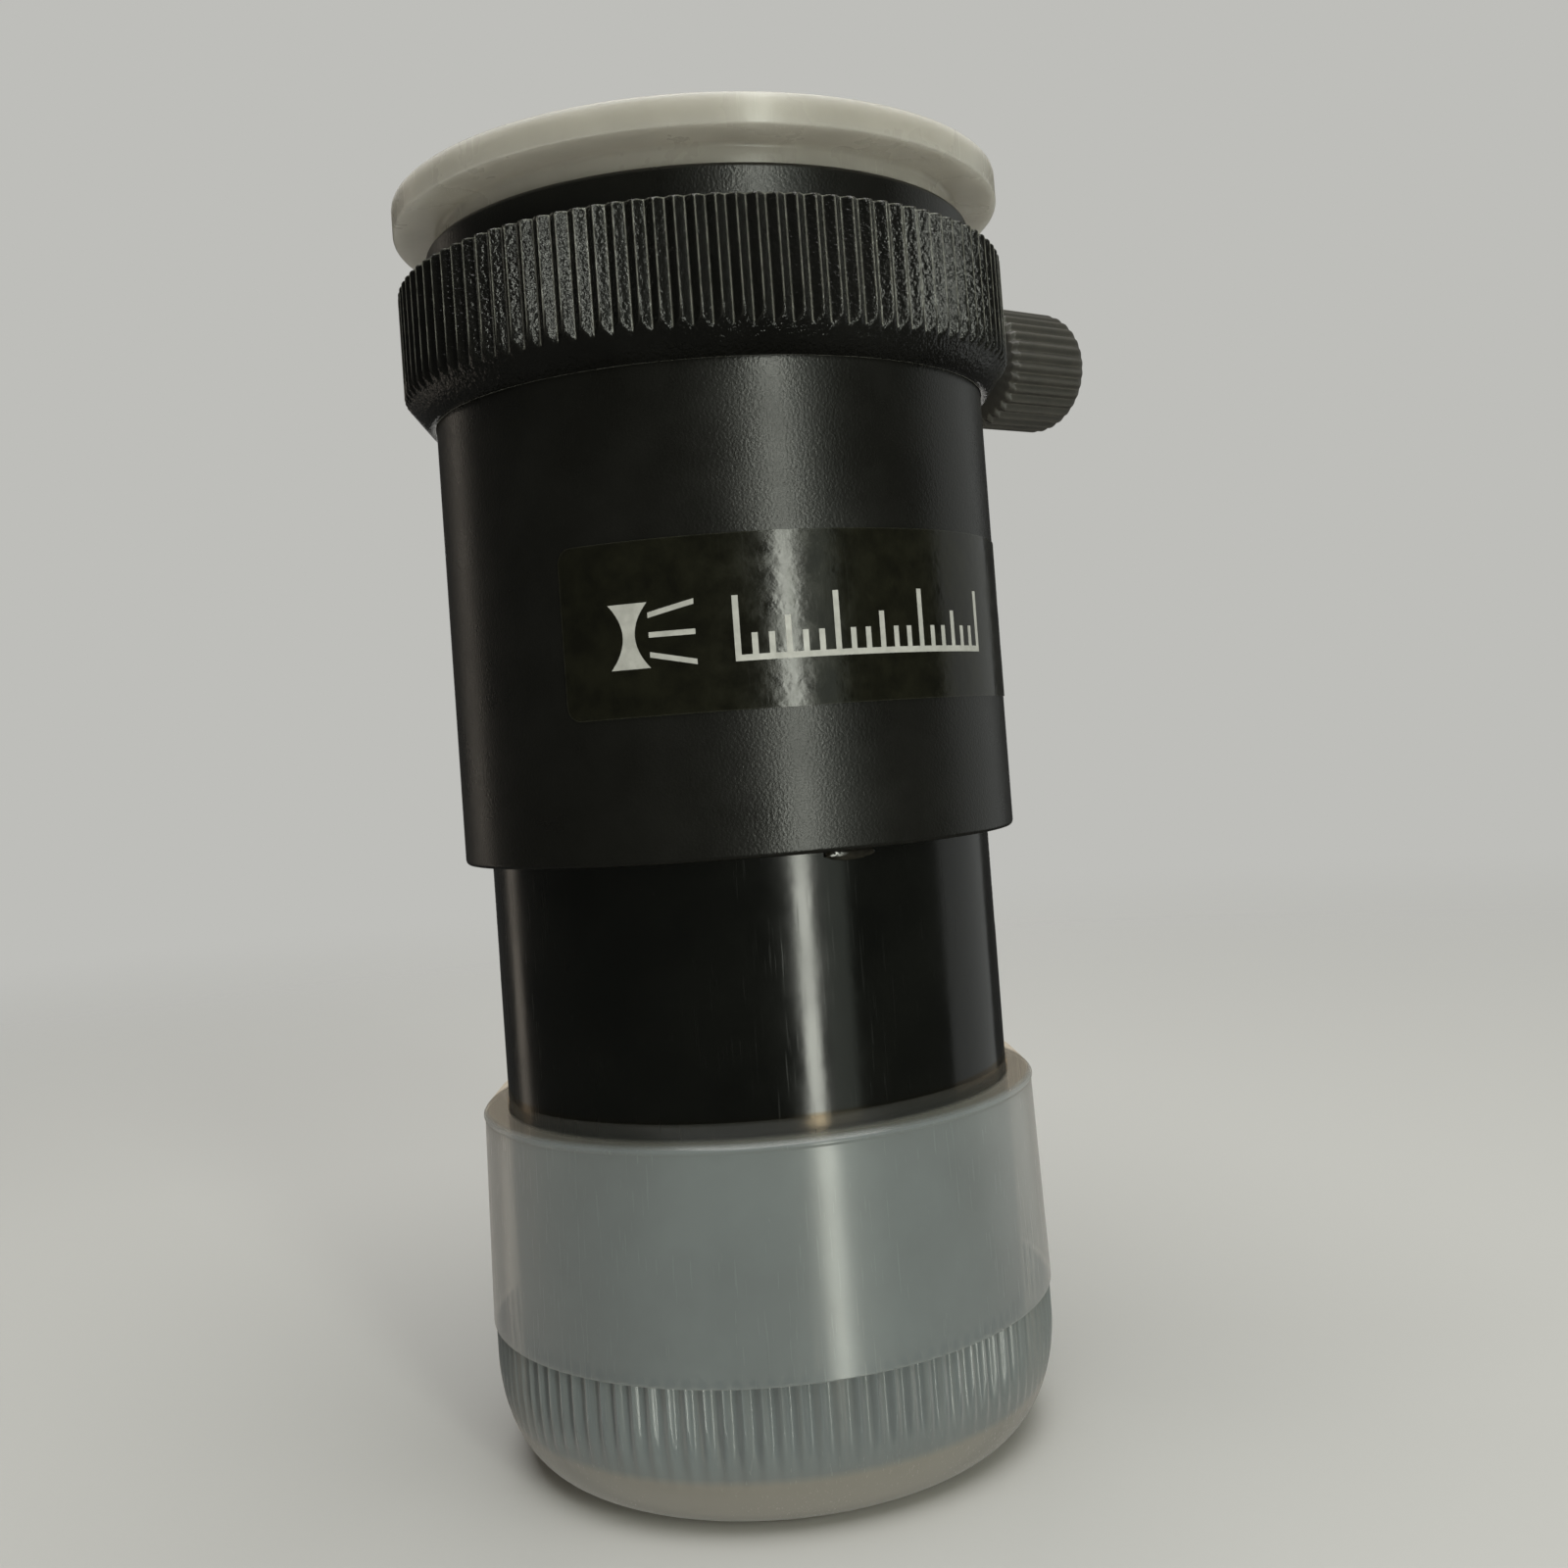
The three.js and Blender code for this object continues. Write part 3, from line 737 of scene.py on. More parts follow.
def settle(
    shape: BMesh, name: str, finish: Finish, body: Body, stands_for: str = "",
    smooth_below: float = SMOOTH_BELOW,
) -> bpy.types.Object:
    """Turn a finished shape into a piece of the object.

    Args:
        shape: The shape in mm. It is used up.
        name: The piece's name.
        finish: What it is made of.
        body: What it rides on.
        stands_for: The CAD node that it replaces, if any.
        smooth_below: Edges that bend less than this many degrees are shaded smooth.

    Returns:
        The piece.
    """
    bmesh.ops.scale(shape, vec=(MM, MM, MM), verts=shape.verts)
    mesh = meshed(name, shape)
    mesh.shade_smooth()
    mesh.set_sharp_from_angle(angle=math.radians(smooth_below))
    made = placed(name, mesh)
    mesh.materials.append(finish_material(finish))
    shading = made.modifiers.new("even_shading", "WEIGHTED_NORMAL")
    shading.keep_sharp = True
    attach(made, body.value)
    if stands_for:
        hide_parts(stands_for)
    log.info("%s: %d faces, %s", name, len(mesh.polygons), finish.name)
    return made


def finish_material(finish: Finish) -> bpy.types.Material:
    """The finish's material, built the first time that it is asked for."""
    return bpy.data.materials.get(finish.name) or finish.material()


# ---- Where the CAD nodes lie -----------------------------------------------------------------


@dataclass(frozen=True)
class Extent:
    """A CAD node's reach in mm: its lowest and highest point and its largest radius."""

    low: float
    high: float
    r: float


def extent(name: str) -> Extent:
    """Measure a CAD node that is turned round the optical axis."""
    low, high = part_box(name)
    return Extent(low.z / MM, high.z / MM, high.x / MM)


def screw_place() -> Matrix:
    """The thumbscrew's own frame, in mm: Z is out along the screw, from the optical axis."""
    joint = next(j for j in frame["joints"] if j["name"] == "screw_turn")
    out = Vector(joint["axis"]).normalized()
    height = joint["pos_m"][2] / MM
    return Matrix.Translation((0, 0, height)) @ out.to_track_quat("Z", "Y").to_matrix().to_4x4()


def screw_extent(name: str) -> Extent:
    """Measure a CAD node in the thumbscrew's own frame."""
    back = screw_place().inverted()
    points = [back @ (vert.co / MM) for vert in frame["nodes"][name].data.vertices]
    heights = [p.z for p in points]
    return Extent(min(heights), max(heights), max(math.hypot(p.x, p.y) for p in points))


def sleeve(bore_r: float, at: Extent, edges: tuple[float, float, float, float]) -> list[Corner]:
    """Draw the outline of a plain sleeve.

    Args:
        bore_r: The radius of its bore.
        at: Its reach.
        edges: How far its edges are rounded: inner foot, outer foot, outer top and inner top.

    Returns:
        Its four corners.
    """
    places = ((bore_r, at.low), (at.r, at.low), (at.r, at.high), (bore_r, at.high))
    return [Corner(*place, edge) for place, edge in zip(places, edges)]


# ---- Sub-assemblies --------------------------------------------------------------------------


@dataclass
class Socket:
    """The body tube and the knurled collar round its upper end."""

    bore_r: float = 15.95
    rim_round: float = 0.3
    insert_hole_r: float = 2.5
    collar_bore_r: float = 17.55
    collar_seat: float = 0.35
    collar_chamfer: float = 1.9
    knurl_count: int = 108
    knurl_depth: float = 0.45
    knurl_samples: int = 8
    knurl_land: float = 0.08
    knurl_smooth_below: float = 55.0
    collar_edge: float = 0.2
    collar_ring_step: float = 1.5

    def hole(self, reach: float) -> BMesh:
        """The cutter for the thread insert's hole."""
        return drill(self.insert_hole_r, self.bore_r / 2, reach + 1, screw_place())

    def tube(self) -> None:
        """Build the satin tube whose bore takes the eyepiece."""
        at = extent("body_tube")
        edge = self.rim_round
        outline = sleeve(self.bore_r, at, (edge / 2, edge, edge, edge))
        shape = cut(turned(outline), self.hole(at.r))
        settle(
            shape, "moulded_body_tube", SATIN_ABS, Body.BARLOW, "body_tube"
        )

    def collar(self) -> None:
        """Build the collar, with grooves that run from its top down into the chamfer."""
        at = extent("knurled_collar")
        shoulder = at.low + self.collar_chamfer
        outline = [
            Corner(self.collar_bore_r, at.low),
            Corner(self.collar_bore_r + self.collar_seat, at.low),
            Corner(at.r, shoulder),
            Corner(at.r, at.high, self.collar_edge),
            Corner(self.collar_bore_r, at.high),
        ]
        shape = turned(outline, self.knurl_count * self.knurl_samples)
        ringed(shape, spaced(at.low + self.collar_chamfer / 2, shoulder, self.knurl_depth / 3)[:-1])
        ringed(shape, spaced(shoulder, at.high - self.collar_edge * 2, self.collar_ring_step)[1:])
        milled(shape, at.r, self.knurl_depth, ridges(self.knurl_count, self.knurl_land))
        shape = cut(shape, self.hole(at.r))
        settle(
            shape, "knurled_grip_collar", TEXTURED_ABS, Body.BARLOW, "knurled_collar",
            smooth_below=self.knurl_smooth_below,
        )

    def build(self) -> None:
        """Build both pieces."""
        self.tube()
        self.collar()


@dataclass
class Nosepiece:
    """The glossy barrel, its filter thread, its light stops and the glue at its joint."""

    wall: float = 1.6
    edge: float = 0.4
    thread_length: float = 4.4
    thread_pitch: float = 0.6
    thread_depth: float = 0.3
    thread_step: float = 0.1
    lower_stop_r: float = 8.2
    upper_stop_r: float = 10.4
    stop_knife: float = 0.5
    stop_edge: float = 0.1
    glue_azimuth: float = 22.0
    glue_size: tuple[float, float, float] = (1.5, 0.3, 0.42)
    glue_lumps: float = 0.12
    glue_lump_scale: float = 2.5

    def barrel(self) -> None:
        """Build the barrel, threaded inside its lower end for a filter."""
        at = extent("nosepiece_barrel")
        inner = at.r - self.wall
        fine = self.edge / 2
        shape = turned(sleeve(inner, at, (fine, self.edge, fine, fine)))
        start = at.low + self.edge
        ringed(shape, spaced(start, start + self.thread_length, self.thread_step))
        end = start + self.thread_length
        zone = Zone(start, end, inner - 1, inner + 0.1, self.thread_pitch, self.thread_pitch)
        pressed(shape, zone, -self.thread_depth, helix(self.thread_pitch))
        settle(
            shape, "polished_nosepiece", GLOSS_ABS, Body.BARLOW, "nosepiece_barrel",
        )

    def stops(self) -> None:
        """Build the two light stops, each hole bevelled to a knife edge."""
        holes = {"lower_baffle": self.lower_stop_r, "upper_baffle": self.upper_stop_r}
        for name, hole in holes.items():
            at = extent(name)
            outline = [
                Corner(hole, at.high),
                Corner(hole + self.stop_knife, at.low),
                Corner(at.r, at.low, self.stop_edge),
                Corner(at.r, at.high, self.stop_edge),
            ]
            settle(turned(outline), f"blackened_{name}", BLACKING, Body.BARLOW, name)

    def glue(self) -> None:
        """Build the small run of adhesive that shows under the tube's lower rim."""
        shape = bmesh.new()
        bmesh.ops.create_icosphere(shape, subdivisions=4, radius=1.0)
        for vert in shape.verts:
            vert.co *= 1 + self.glue_lumps * noise.noise(vert.co * self.glue_lump_scale)
        bmesh.ops.scale(shape, vec=self.glue_size, verts=shape.verts)
        out = extent("nosepiece_barrel").r + self.glue_size[1] / 2
        below = extent("body_tube").low - self.glue_size[2] / 2
        swing = Matrix.Rotation(math.radians(self.glue_azimuth), 4, "Z")
        place = swing @ Matrix.Translation((0, -out, below))
        bmesh.ops.transform(shape, matrix=place, verts=shape.verts)
        settle(shape, "glue_run", ADHESIVE, Body.BARLOW)

    def build(self) -> None:
        """Build every piece of the nosepiece."""
        self.barrel()
        self.stops()
        self.glue()


@dataclass
class Label:
    """The film wrapped round the tube and the diagram printed on it."""

    glue_line: float = 0.01
    thickness: float = 0.06
    start_azimuth: float = -31.0
    sweep: float = 139.0
    corner: float = 0.9
    bend_step: float = 0.5
    ink: float = 0.012
    row_drop: float = 0.4
    row_height: float = 3.6
    lens_at: float = -5.4
    lens_width: float = 2.3
    lens_waist: float = 0.7
    lens_step: float = 0.2
    ray_length: float = 2.6
    ray_width: float = 0.3
    ray_spread: float = 0.22
    ray_rise: float = 0.3
    scale_at: float = 0.6
    tick_count: int = 19
    tick_step: float = 0.95
    tick_width: float = 0.34
    tick_kinds: tuple[tuple[int, float], ...] = ((6, 1.0), (3, 0.66), (1, 0.42))

    def flat(
        self, width: float, height: float, middle: tuple[float, float], rounded: float = 0.0
    ) -> BMesh:
        """A flat rectangle in the film's own plane.

        Args:
            width: Its size along the wrap.
            height: Its size up the tube.
            middle: Its centre, along the wrap from the front and up from the film's middle.
            rounded: How far its corners are rounded.

        Returns:
            The shape, cut into strips that are narrow enough to bend.
        """
        shape = bmesh.new()
        place = Matrix.Translation((*middle, 0)) @ Matrix.Diagonal((width / 2, height / 2, 1, 1))
        bmesh.ops.create_grid(shape, x_segments=1, y_segments=1, size=1.0, matrix=place)
        if rounded:
            bmesh.ops.bevel(
                shape, geom=shape.verts[:], offset=rounded, offset_type="OFFSET", affect="VERTICES",
                segments=6, profile=0.5, material=-1,
            )
        edge = middle[0] - width / 2
        return sliced(shape, Vector((1, 0, 0)), spaced(edge, edge + width, self.bend_step)[1:-1])

    def wrap(self, shape: BMesh, r: float, middle_z: float, thickness: float) -> BMesh:
        """Thicken a flat shape and bend it round the tube.

        Args:
            shape: The flat shape, facing up.
            r: The radius that its underside lies on.
            middle_z: The height of the film's middle.
            thickness: How thick it becomes.

        Returns:
            The same shape, closed.
        """
        raised = bmesh.ops.extrude_face_region(shape, geom=shape.faces[:], use_keep_orig=True)
        tops = [part for part in raised["geom"] if isinstance(part, bmesh.types.BMVert)]
        bmesh.ops.translate(shape, verts=tops, vec=(0, 0, thickness))
        for vert in shape.verts:
            azimuth = vert.co.x / (r + thickness)
            out = r + vert.co.z
            height = middle_z + vert.co.y
            vert.co = (out * math.sin(azimuth), -out * math.cos(azimuth), height)
        bmesh.ops.recalc_face_normals(shape, faces=shape.faces)
        return shape

    def lens_section(self) -> BMesh:
        """The lens in the diagram, cut through: hollow on both sides."""
        shape = self.flat(self.lens_width, self.row_height, (self.lens_at, -self.row_drop))
        heights = spaced(-self.row_height / 2, self.row_height / 2, self.lens_step)[1:-1]
        sliced(shape, Vector((0, 1, 0)), [y - self.row_drop for y in heights])
        waist = self.lens_waist / self.lens_width
        for vert in shape.verts:
            up = (vert.co.y + self.row_drop) / (self.row_height / 2)
            narrow = waist + (1 - waist) * up * up
            vert.co.x = self.lens_at + (vert.co.x - self.lens_at) * narrow
        return shape

    def marks(self) -> list[BMesh]:
        """Every flat mark of the diagram: the lens, the rays through it and a graduated scale."""
        shapes = [self.lens_section()]
        lens_half = self.lens_width / 2
        for side in (-1, 0, 1):
            low = self.row_height * self.ray_rise * side - self.row_drop
            behind = self.lens_at + lens_half + self.ray_length / 2
            ray = self.flat(self.ray_length, self.ray_width, (behind, low))
            for vert in ray.verts:
                vert.co.y += side * self.ray_spread * (vert.co.x - self.lens_at - lens_half)
            shapes.append(ray)
        foot = -self.row_drop - self.row_height / 2
        length = self.tick_step * (self.tick_count - 1) + self.tick_width
        along = self.scale_at + length / 2 - self.tick_width / 2
        shapes.append(self.flat(length, self.tick_width, (along, foot + self.tick_width / 2)))
        for i in range(self.tick_count):
            tall = self.row_height * next(size for every, size in self.tick_kinds if i % every == 0)
            middle = (self.scale_at + i * self.tick_step, foot + tall / 2)
            shapes.append(self.flat(self.tick_width, tall, middle))
        return shapes

    def build(self) -> None:
        """Build the film and its print."""
        at = extent("label_film")
        tube = extent("body_tube").r
        under = tube + self.glue_line
        middle_z = (at.low + at.high) / 2
        length = math.radians(self.sweep) * at.r
        along = math.radians(self.start_azimuth) * at.r + length / 2
        film = self.flat(length, at.high - at.low, (along, 0.0), self.corner)
        self.wrap(film, under, middle_z, self.thickness)
        settle(film, "wrapped_label", LABEL_FILM, Body.BARLOW, "label_film")
        art = bmesh.new()
        for mark in self.marks():
            self.wrap(mark, under + self.thickness, middle_z, self.ink)
            mesh = meshed("mark", mark)
            art.from_mesh(mesh)
            bpy.data.meshes.remove(mesh)
        settle(art, "printed_diagram", INK, Body.BARLOW)


@dataclass
class DustCaps:
    """The plug in the eyepiece socket and the cap over the nosepiece."""

    flange_thickness: float = 1.75
    flange_edge: float = 0.12
    land_r: float = 16.65
    skirt_r: float = 15.8
    skirt_taper: float = 0.15
    skirt_wall: float = 1.2
    skirt_edge: float = 0.3
    skirt_tip_edge: float = 0.2
    land_gap: float = 0.05
    land_edge: float = 0.15
    plug_dish_r: float = 14.8
    plug_dish: float = 0.3
    dish_edge: float = 0.15
    gate_r: float = 0.9
    gate: float = 0.2
    gate_root_edge: float = 0.1
    gate_edge: float = 0.08
    cap_bore_r: float = 15.975
    cap_floor: float = 1.4
    lip_chamfer: float = 1.1
    lip_wall: float = 0.4
    lip_edge: float = 0.12
    bead: float = 0.3
    bead_root_edge: float = 0.04
    bead_edge: float = 0.05
    mouth_r: float = 17.405
    lower_r: float = 17.705
    crest_r: float = 17.575
    rib_top: float = 8.6
    rib_top_edge: float = 0.06
    rib_ring_step: float = 0.7
    wall_ring_gaps: tuple[float, float] = (0.1, 1.0)
    wall_ring_step: float = 4.0
    rib_count: int = 104
    rib_samples: int = 8
    rib_depth: float = 0.34
    rib_sharpness: float = 1.3
    rib_fade_from: float = 2.4
    corner_width: float = 3.9
    corner_height: float = 6.4
    corner_steps: int = 20
    inner_corner_width: float = 1.8
    inner_corner_height: float = 2.4
    inner_corner_steps: int = 8
    foot_recess_r: float = 3.2
    foot_recess: float = 0.25

    def plug(self) -> None:
        """Build the plug: a wide flange, a land under it and a short tapered skirt."""
        at = extent("top_plug_cap")
        under = at.high - self.flange_thickness
        land = extent("body_tube").high + self.land_gap
        dish = at.high - self.plug_dish
        tip_r = self.skirt_r - self.skirt_taper
        inner = tip_r - self.skirt_wall
        outline = [
            Corner(0, under),
            Corner(inner, under, self.skirt_edge),
            Corner(inner, at.low, self.skirt_tip_edge),
            Corner(tip_r, at.low, self.skirt_edge),
            Corner(self.skirt_r, land),
            Corner(self.land_r, land, self.land_edge),
            Corner(self.land_r, under, self.skirt_edge),
            Corner(at.r, under, self.flange_edge),
            Corner(at.r, at.high, self.flange_edge),
            Corner(self.plug_dish_r + self.plug_dish, at.high, self.dish_edge),
            Corner(self.plug_dish_r, dish, self.dish_edge),
            Corner(self.gate_r, dish, self.gate_root_edge),
            Corner(self.gate_r, dish + self.gate, self.gate_edge),
            Corner(0, dish + self.gate),
        ]
        settle(
            turned(outline), "flanged_plug", WAXY_POLYETHYLENE, Body.PLUG, "top_plug_cap",
        )

    def cap(self) -> None:
        """Build the cap: a thin wall, a chamfered lip and ribs that die out in its rounded base."""
        at = extent("end_cap")
        chamfer = at.high - self.lip_chamfer
        outer_corner = quarter(
            Corner(self.crest_r - self.corner_width, self.corner_height),
            self.corner_width, self.corner_height, -90, 0, self.corner_steps,
        )
        width, height = self.inner_corner_width, self.inner_corner_height
        inner_corner = quarter(
            Corner(self.cap_bore_r - width, self.cap_floor + height),
            width, height, 0, -90, self.inner_corner_steps,
        )
        outline = [
            Corner(0, self.foot_recess),
            Corner(self.foot_recess_r, self.foot_recess),
            Corner(self.foot_recess_r + self.foot_recess, at.low),
            *outer_corner,
            Corner(self.crest_r, self.rib_top),
            Corner(self.lower_r, self.rib_top, self.rib_top_edge),
            Corner(self.mouth_r, chamfer - self.bead, self.bead_root_edge),
            Corner(self.mouth_r + self.bead / 3, chamfer - self.bead / 2, self.bead_edge),
            Corner(self.mouth_r, chamfer, self.bead_root_edge),
            Corner(self.cap_bore_r + self.lip_wall, at.high, self.lip_edge),
            Corner(self.cap_bore_r, at.high, self.lip_edge),
            *inner_corner,
            Corner(0, self.cap_floor),
        ]
        shape = turned(outline, self.rib_count * self.rib_samples)
        ringed(shape, spaced(self.corner_height, self.rib_top, self.rib_ring_step)[1:-1])
        above_ribs, below_lip = self.wall_ring_gaps
        ringed(shape, spaced(self.rib_top + above_ribs, chamfer - below_lip, self.wall_ring_step))
        zone = Zone(
            self.rib_fade_from, self.rib_top + WELD_MM, self.cap_bore_r, self.crest_r + 0.01,
            self.corner_height - self.rib_fade_from,
        )
        pressed(shape, zone, self.rib_depth, grooves(self.rib_count, self.rib_sharpness))
        settle(
            shape, "slip_on_cap", CLEAR_POLYETHYLENE, Body.CAP, "end_cap",
            smooth_below=RIBS_SMOOTH_BELOW,
        )

    def build(self) -> None:
        """Build both caps."""
        self.plug()
        self.cap()


@dataclass
class Thumbscrew:
    """The screw, its knob, its brass insert and the nylon pad on its tip."""

    rib_count: int = 32
    rib_samples: int = 10
    rib_depth: float = 0.3
    rib_sharpness: float = 0.8
    ring_step: float = 0.8
    edge: float = 0.1
    inner_chamfer: float = 0.35
    outer_round: float = 1.15
    outer_steps: int = 8
    dimple_r: float = 2.2
    dimple: float = 0.3
    bore_r: float = 2.05
    cap_thickness: float = 1.2
    pitch: float = 0.7
    thread_depth: float = 0.36
    thread_step: float = 0.09
    thread_segments: int = 48
    tip_chamfer: float = 0.4
    head_edge: float = 0.15
    insert_bore_r: float = 2.05
    insert_thread_share: float = 0.6
    pad_round: float = 0.45
    pad_steps: int = 6
    pad_edge: float = 0.12

    def place(self, shape: BMesh) -> BMesh:
        """Swing a shape from its own upright frame to the screw's."""
        bmesh.ops.transform(shape, matrix=screw_place(), verts=shape.verts)
        return shape

    def knob(self) -> None:
        """Build the ribbed knob, with a dimple in its end and a blind hole for the screw."""
        at = screw_extent("thumbscrew_knob")
        hole_end = at.high - self.cap_thickness
        outline = [
            Corner(0, hole_end),
            Corner(self.bore_r, hole_end),
            Corner(self.bore_r, at.low, self.edge),
            Corner(at.r - self.inner_chamfer, at.low, self.edge),
            Corner(at.r, at.low + self.inner_chamfer, self.edge),
            *quarter(
                Corner(at.r - self.outer_round, at.high - self.outer_round),
                self.outer_round, self.outer_round, 0, 90, self.outer_steps,
            ),
            Corner(self.dimple_r + self.dimple, at.high),
            Corner(self.dimple_r, at.high - self.dimple),
            Corner(0, at.high - self.dimple),
        ]
        shape = turned(outline, self.rib_count * self.rib_samples)
        heights = spaced(at.low + self.inner_chamfer, at.high - self.outer_round, self.ring_step)
        ringed(shape, heights[1:-1])
        zone = Zone(at.low, at.high, at.r - self.outer_round, at.r + 1, 0.0, self.outer_round)
        pressed(shape, zone, self.rib_depth, grooves(self.rib_count, self.rib_sharpness))
        settle(
            self.place(shape), "ribbed_knob", KNOB_PLASTIC, Body.THUMBSCREW, "thumbscrew_knob",
            smooth_below=RIBS_SMOOTH_BELOW,
        )

    def shaft(self) -> None:
        """Build the screw with its rolled thread."""
        at = screw_extent("thumbscrew_shaft")
        outline = [
            Corner(0, at.low),
            Corner(at.r - self.tip_chamfer, at.low),
            Corner(at.r, at.low + self.tip_chamfer),
            Corner(at.r, at.high, self.head_edge),
            Corner(0, at.high),
        ]
        shape = turned(outline, self.thread_segments)
        knob = screw_extent("thumbscrew_knob")
        ringed(shape, spaced(at.low + self.tip_chamfer, knob.low, self.thread_step))
        zone = Zone(at.low, knob.low, at.r / 2, at.r + 1, self.tip_chamfer, self.pitch)
        pressed(shape, zone, self.thread_depth, helix(self.pitch))
        settle(
            self.place(shape), "threaded_screw", PLATED_STEEL, Body.THUMBSCREW, "thumbscrew_shaft",
        )

    def insert(self) -> None:
        """Build the brass insert that the screw runs in."""
        at = screw_extent("thread_insert")
        shape = turned(sleeve(self.insert_bore_r, at, (self.edge,) * 4), self.thread_segments)
        ringed(shape, spaced(at.low + self.edge, at.high - self.edge, self.thread_step))
        most_r = self.insert_bore_r + self.edge
        zone = Zone(at.low, at.high, 0, most_r, self.pitch / 2, self.pitch / 2)
        depth = (at.r - self.insert_bore_r) * self.insert_thread_share
        pressed(shape, zone, -depth, helix(self.pitch))
        settle(
            self.place(shape), "brass_insert", TURNED_BRASS, Body.BARLOW, "thread_insert"
        )

    def pad(self) -> None:
        """Build the nylon pad that presses on the eyepiece."""
        at = screw_extent("screw_pad")
        outline = [
            Corner(0, at.low),
            Corner(at.r, at.low, self.pad_round),
            Corner(at.r, at.high, self.pad_edge),
            Corner(0, at.high),
        ]
        shape = turned(outline, self.thread_segments, self.pad_steps)
        settle(self.place(shape), "nylon_pad", NATURAL_NYLON, Body.TIP, "screw_pad")

    def build(self) -> None:
        """Build every piece on the screw's axis."""
        self.knob()
        self.shaft()
        self.insert()
        self.pad()


@dataclass
class LensCell:
    """The threaded cell, its retaining ring and the cemented doublet."""

    lens_bore_r: float = 7.6
    ring_bore_r: float = 8.4
    seat_r: float = 6.8
    seat_thickness: float = 1.3
    seat_edge: float = 0.25
    mouth_edge: float = 0.12
    cell_edge: float = 0.2
    ring_gap: float = 0.05
    thread_margin: float = 0.3
    thread_pitch: float = 0.6
    thread_depth: float = 0.28
    thread_step: float = 0.1
    ring_wall: float = 2.0
    ring_edges: tuple[float, float, float, float] = (0.35, 0.15, 0.1, 0.1)
    slot_width: float = 1.4
    slot_depth: float = 0.9
    curve_r: float = 13.0
    crown_centre: float = 1.5
    face_steps: int = 20
    ground_edge: float = 0.15

    def cell(self) -> None:
        """Build the cell, threaded outside, with its seat above the glass."""
        at = extent("lens_cell")
        ring_top = extent("lens_retaining_ring").high + self.ring_gap
        seat = at.high - self.seat_thickness
        outline = [
            Corner(self.ring_bore_r, at.low, self.mouth_edge),
            Corner(at.r, at.low, self.cell_edge),
            Corner(at.r, at.high, self.cell_edge),
            Corner(self.seat_r, at.high, self.seat_edge),
            Corner(self.seat_r, seat),
            Corner(self.lens_bore_r, seat),
            Corner(self.lens_bore_r, ring_top),
            Corner(self.ring_bore_r, ring_top),
        ]
        shape = turned(outline)
        margin = self.thread_margin
        ringed(shape, spaced(at.low + margin, at.high - margin, self.thread_step))
        zone = Zone(at.low, at.high, at.r - margin, at.r + 1, self.thread_pitch, self.thread_pitch)
        pressed(shape, zone, self.thread_depth, helix(self.thread_pitch))
        settle(shape, "anodised_cell", ANODISED_ALUMINIUM, Body.BARLOW, "lens_cell")

    def ring(self) -> None:
        """Build the retaining ring and its two spanner slots."""
        at = extent("lens_retaining_ring")
        outline = sleeve(at.r - self.ring_wall, at, self.ring_edges)
        slot = bmesh.new()
        size = Matrix.Diagonal((self.slot_width, at.r * 3, self.slot_depth * 2, 1))
        bmesh.ops.create_cube(slot, size=1.0, matrix=Matrix.Translation((0, 0, at.low)) @ size)
        shape = cut(turned(outline), slot)
        settle(
            shape, "slotted_ring", ANODISED_ALUMINIUM, Body.BARLOW, "lens_retaining_ring",
        )

    def sag(self, r: float) -> float:
        """How far a face has curved away from its middle at this radius."""
        return self.curve_r - math.sqrt(self.curve_r**2 - r * r)

    def face(self, edge_r: float, middle: float, bend: int) -> list[Corner]:
        """Corners of a lens face from the axis to its edge; bend is 1 where the edge is higher."""
        radii = spaced(0, edge_r, edge_r / self.face_steps)
        return [Corner(r, middle + bend * self.sag(r)) for r in radii]

    def doublet(self) -> None:
        """Build the hollow crown element and the flint element that fits its upper face."""
        crown = extent("crown_lens")
        full = self.sag(crown.r)
        low = self.face(crown.r, crown.low + full, -1)
        high = self.face(crown.r, crown.low + full + self.crown_centre, 1)[::-1]
        settle(
            turned([*low, *high]), "coated_crown", CROWN_GLASS, Body.BARLOW, "crown_lens",
        )
        flint = extent("flint_lens")
        under = self.face(flint.r, flint.low, 1)
        over = [Corner(flint.r, flint.high, self.ground_edge), Corner(0, flint.high)]
        settle(
            turned([*under, *over]), "coated_flint", FLINT_GLASS, Body.BARLOW, "flint_lens",
        )

    def build(self) -> None:
        """Build every piece of the cell."""
        self.cell()
        self.ring()
        self.doublet()


# ---- Studio ----------------------------------------------------------------------------------


@dataclass(frozen=True)
class Softbox:
    """A rectangular light. Azimuth is from the front and positive to the right; sizes are metres.

    One that isn't mirrored lights the object but isn't seen in its glossy surfaces.
    """

    name: str
    azimuth: float
    height: float
    distance: float
    size: tuple[float, float]
    power: float
    colour: str
    mirrored: bool = True

    def build(self, target: Vector) -> None:
        """Hang the light and aim it.

        Args:
            target: The point that it faces.
        """
        lamp = bpy.data.lights.new(self.name, "AREA")
        lamp.shape = "RECTANGLE"
        lamp.size, lamp.size_y = self.size
        lamp.energy = self.power
        lamp.color = linear(self.colour)[:3]
        hung = placed(self.name, lamp)
        a = math.radians(self.azimuth)
        hung.location = (self.distance * math.sin(a), -self.distance * math.cos(a), self.height)
        hung.rotation_euler = (target - hung.location).to_track_quat("-Z", "Y").to_euler()
        hung.visible_camera = False
        hung.visible_glossy = self.mirrored


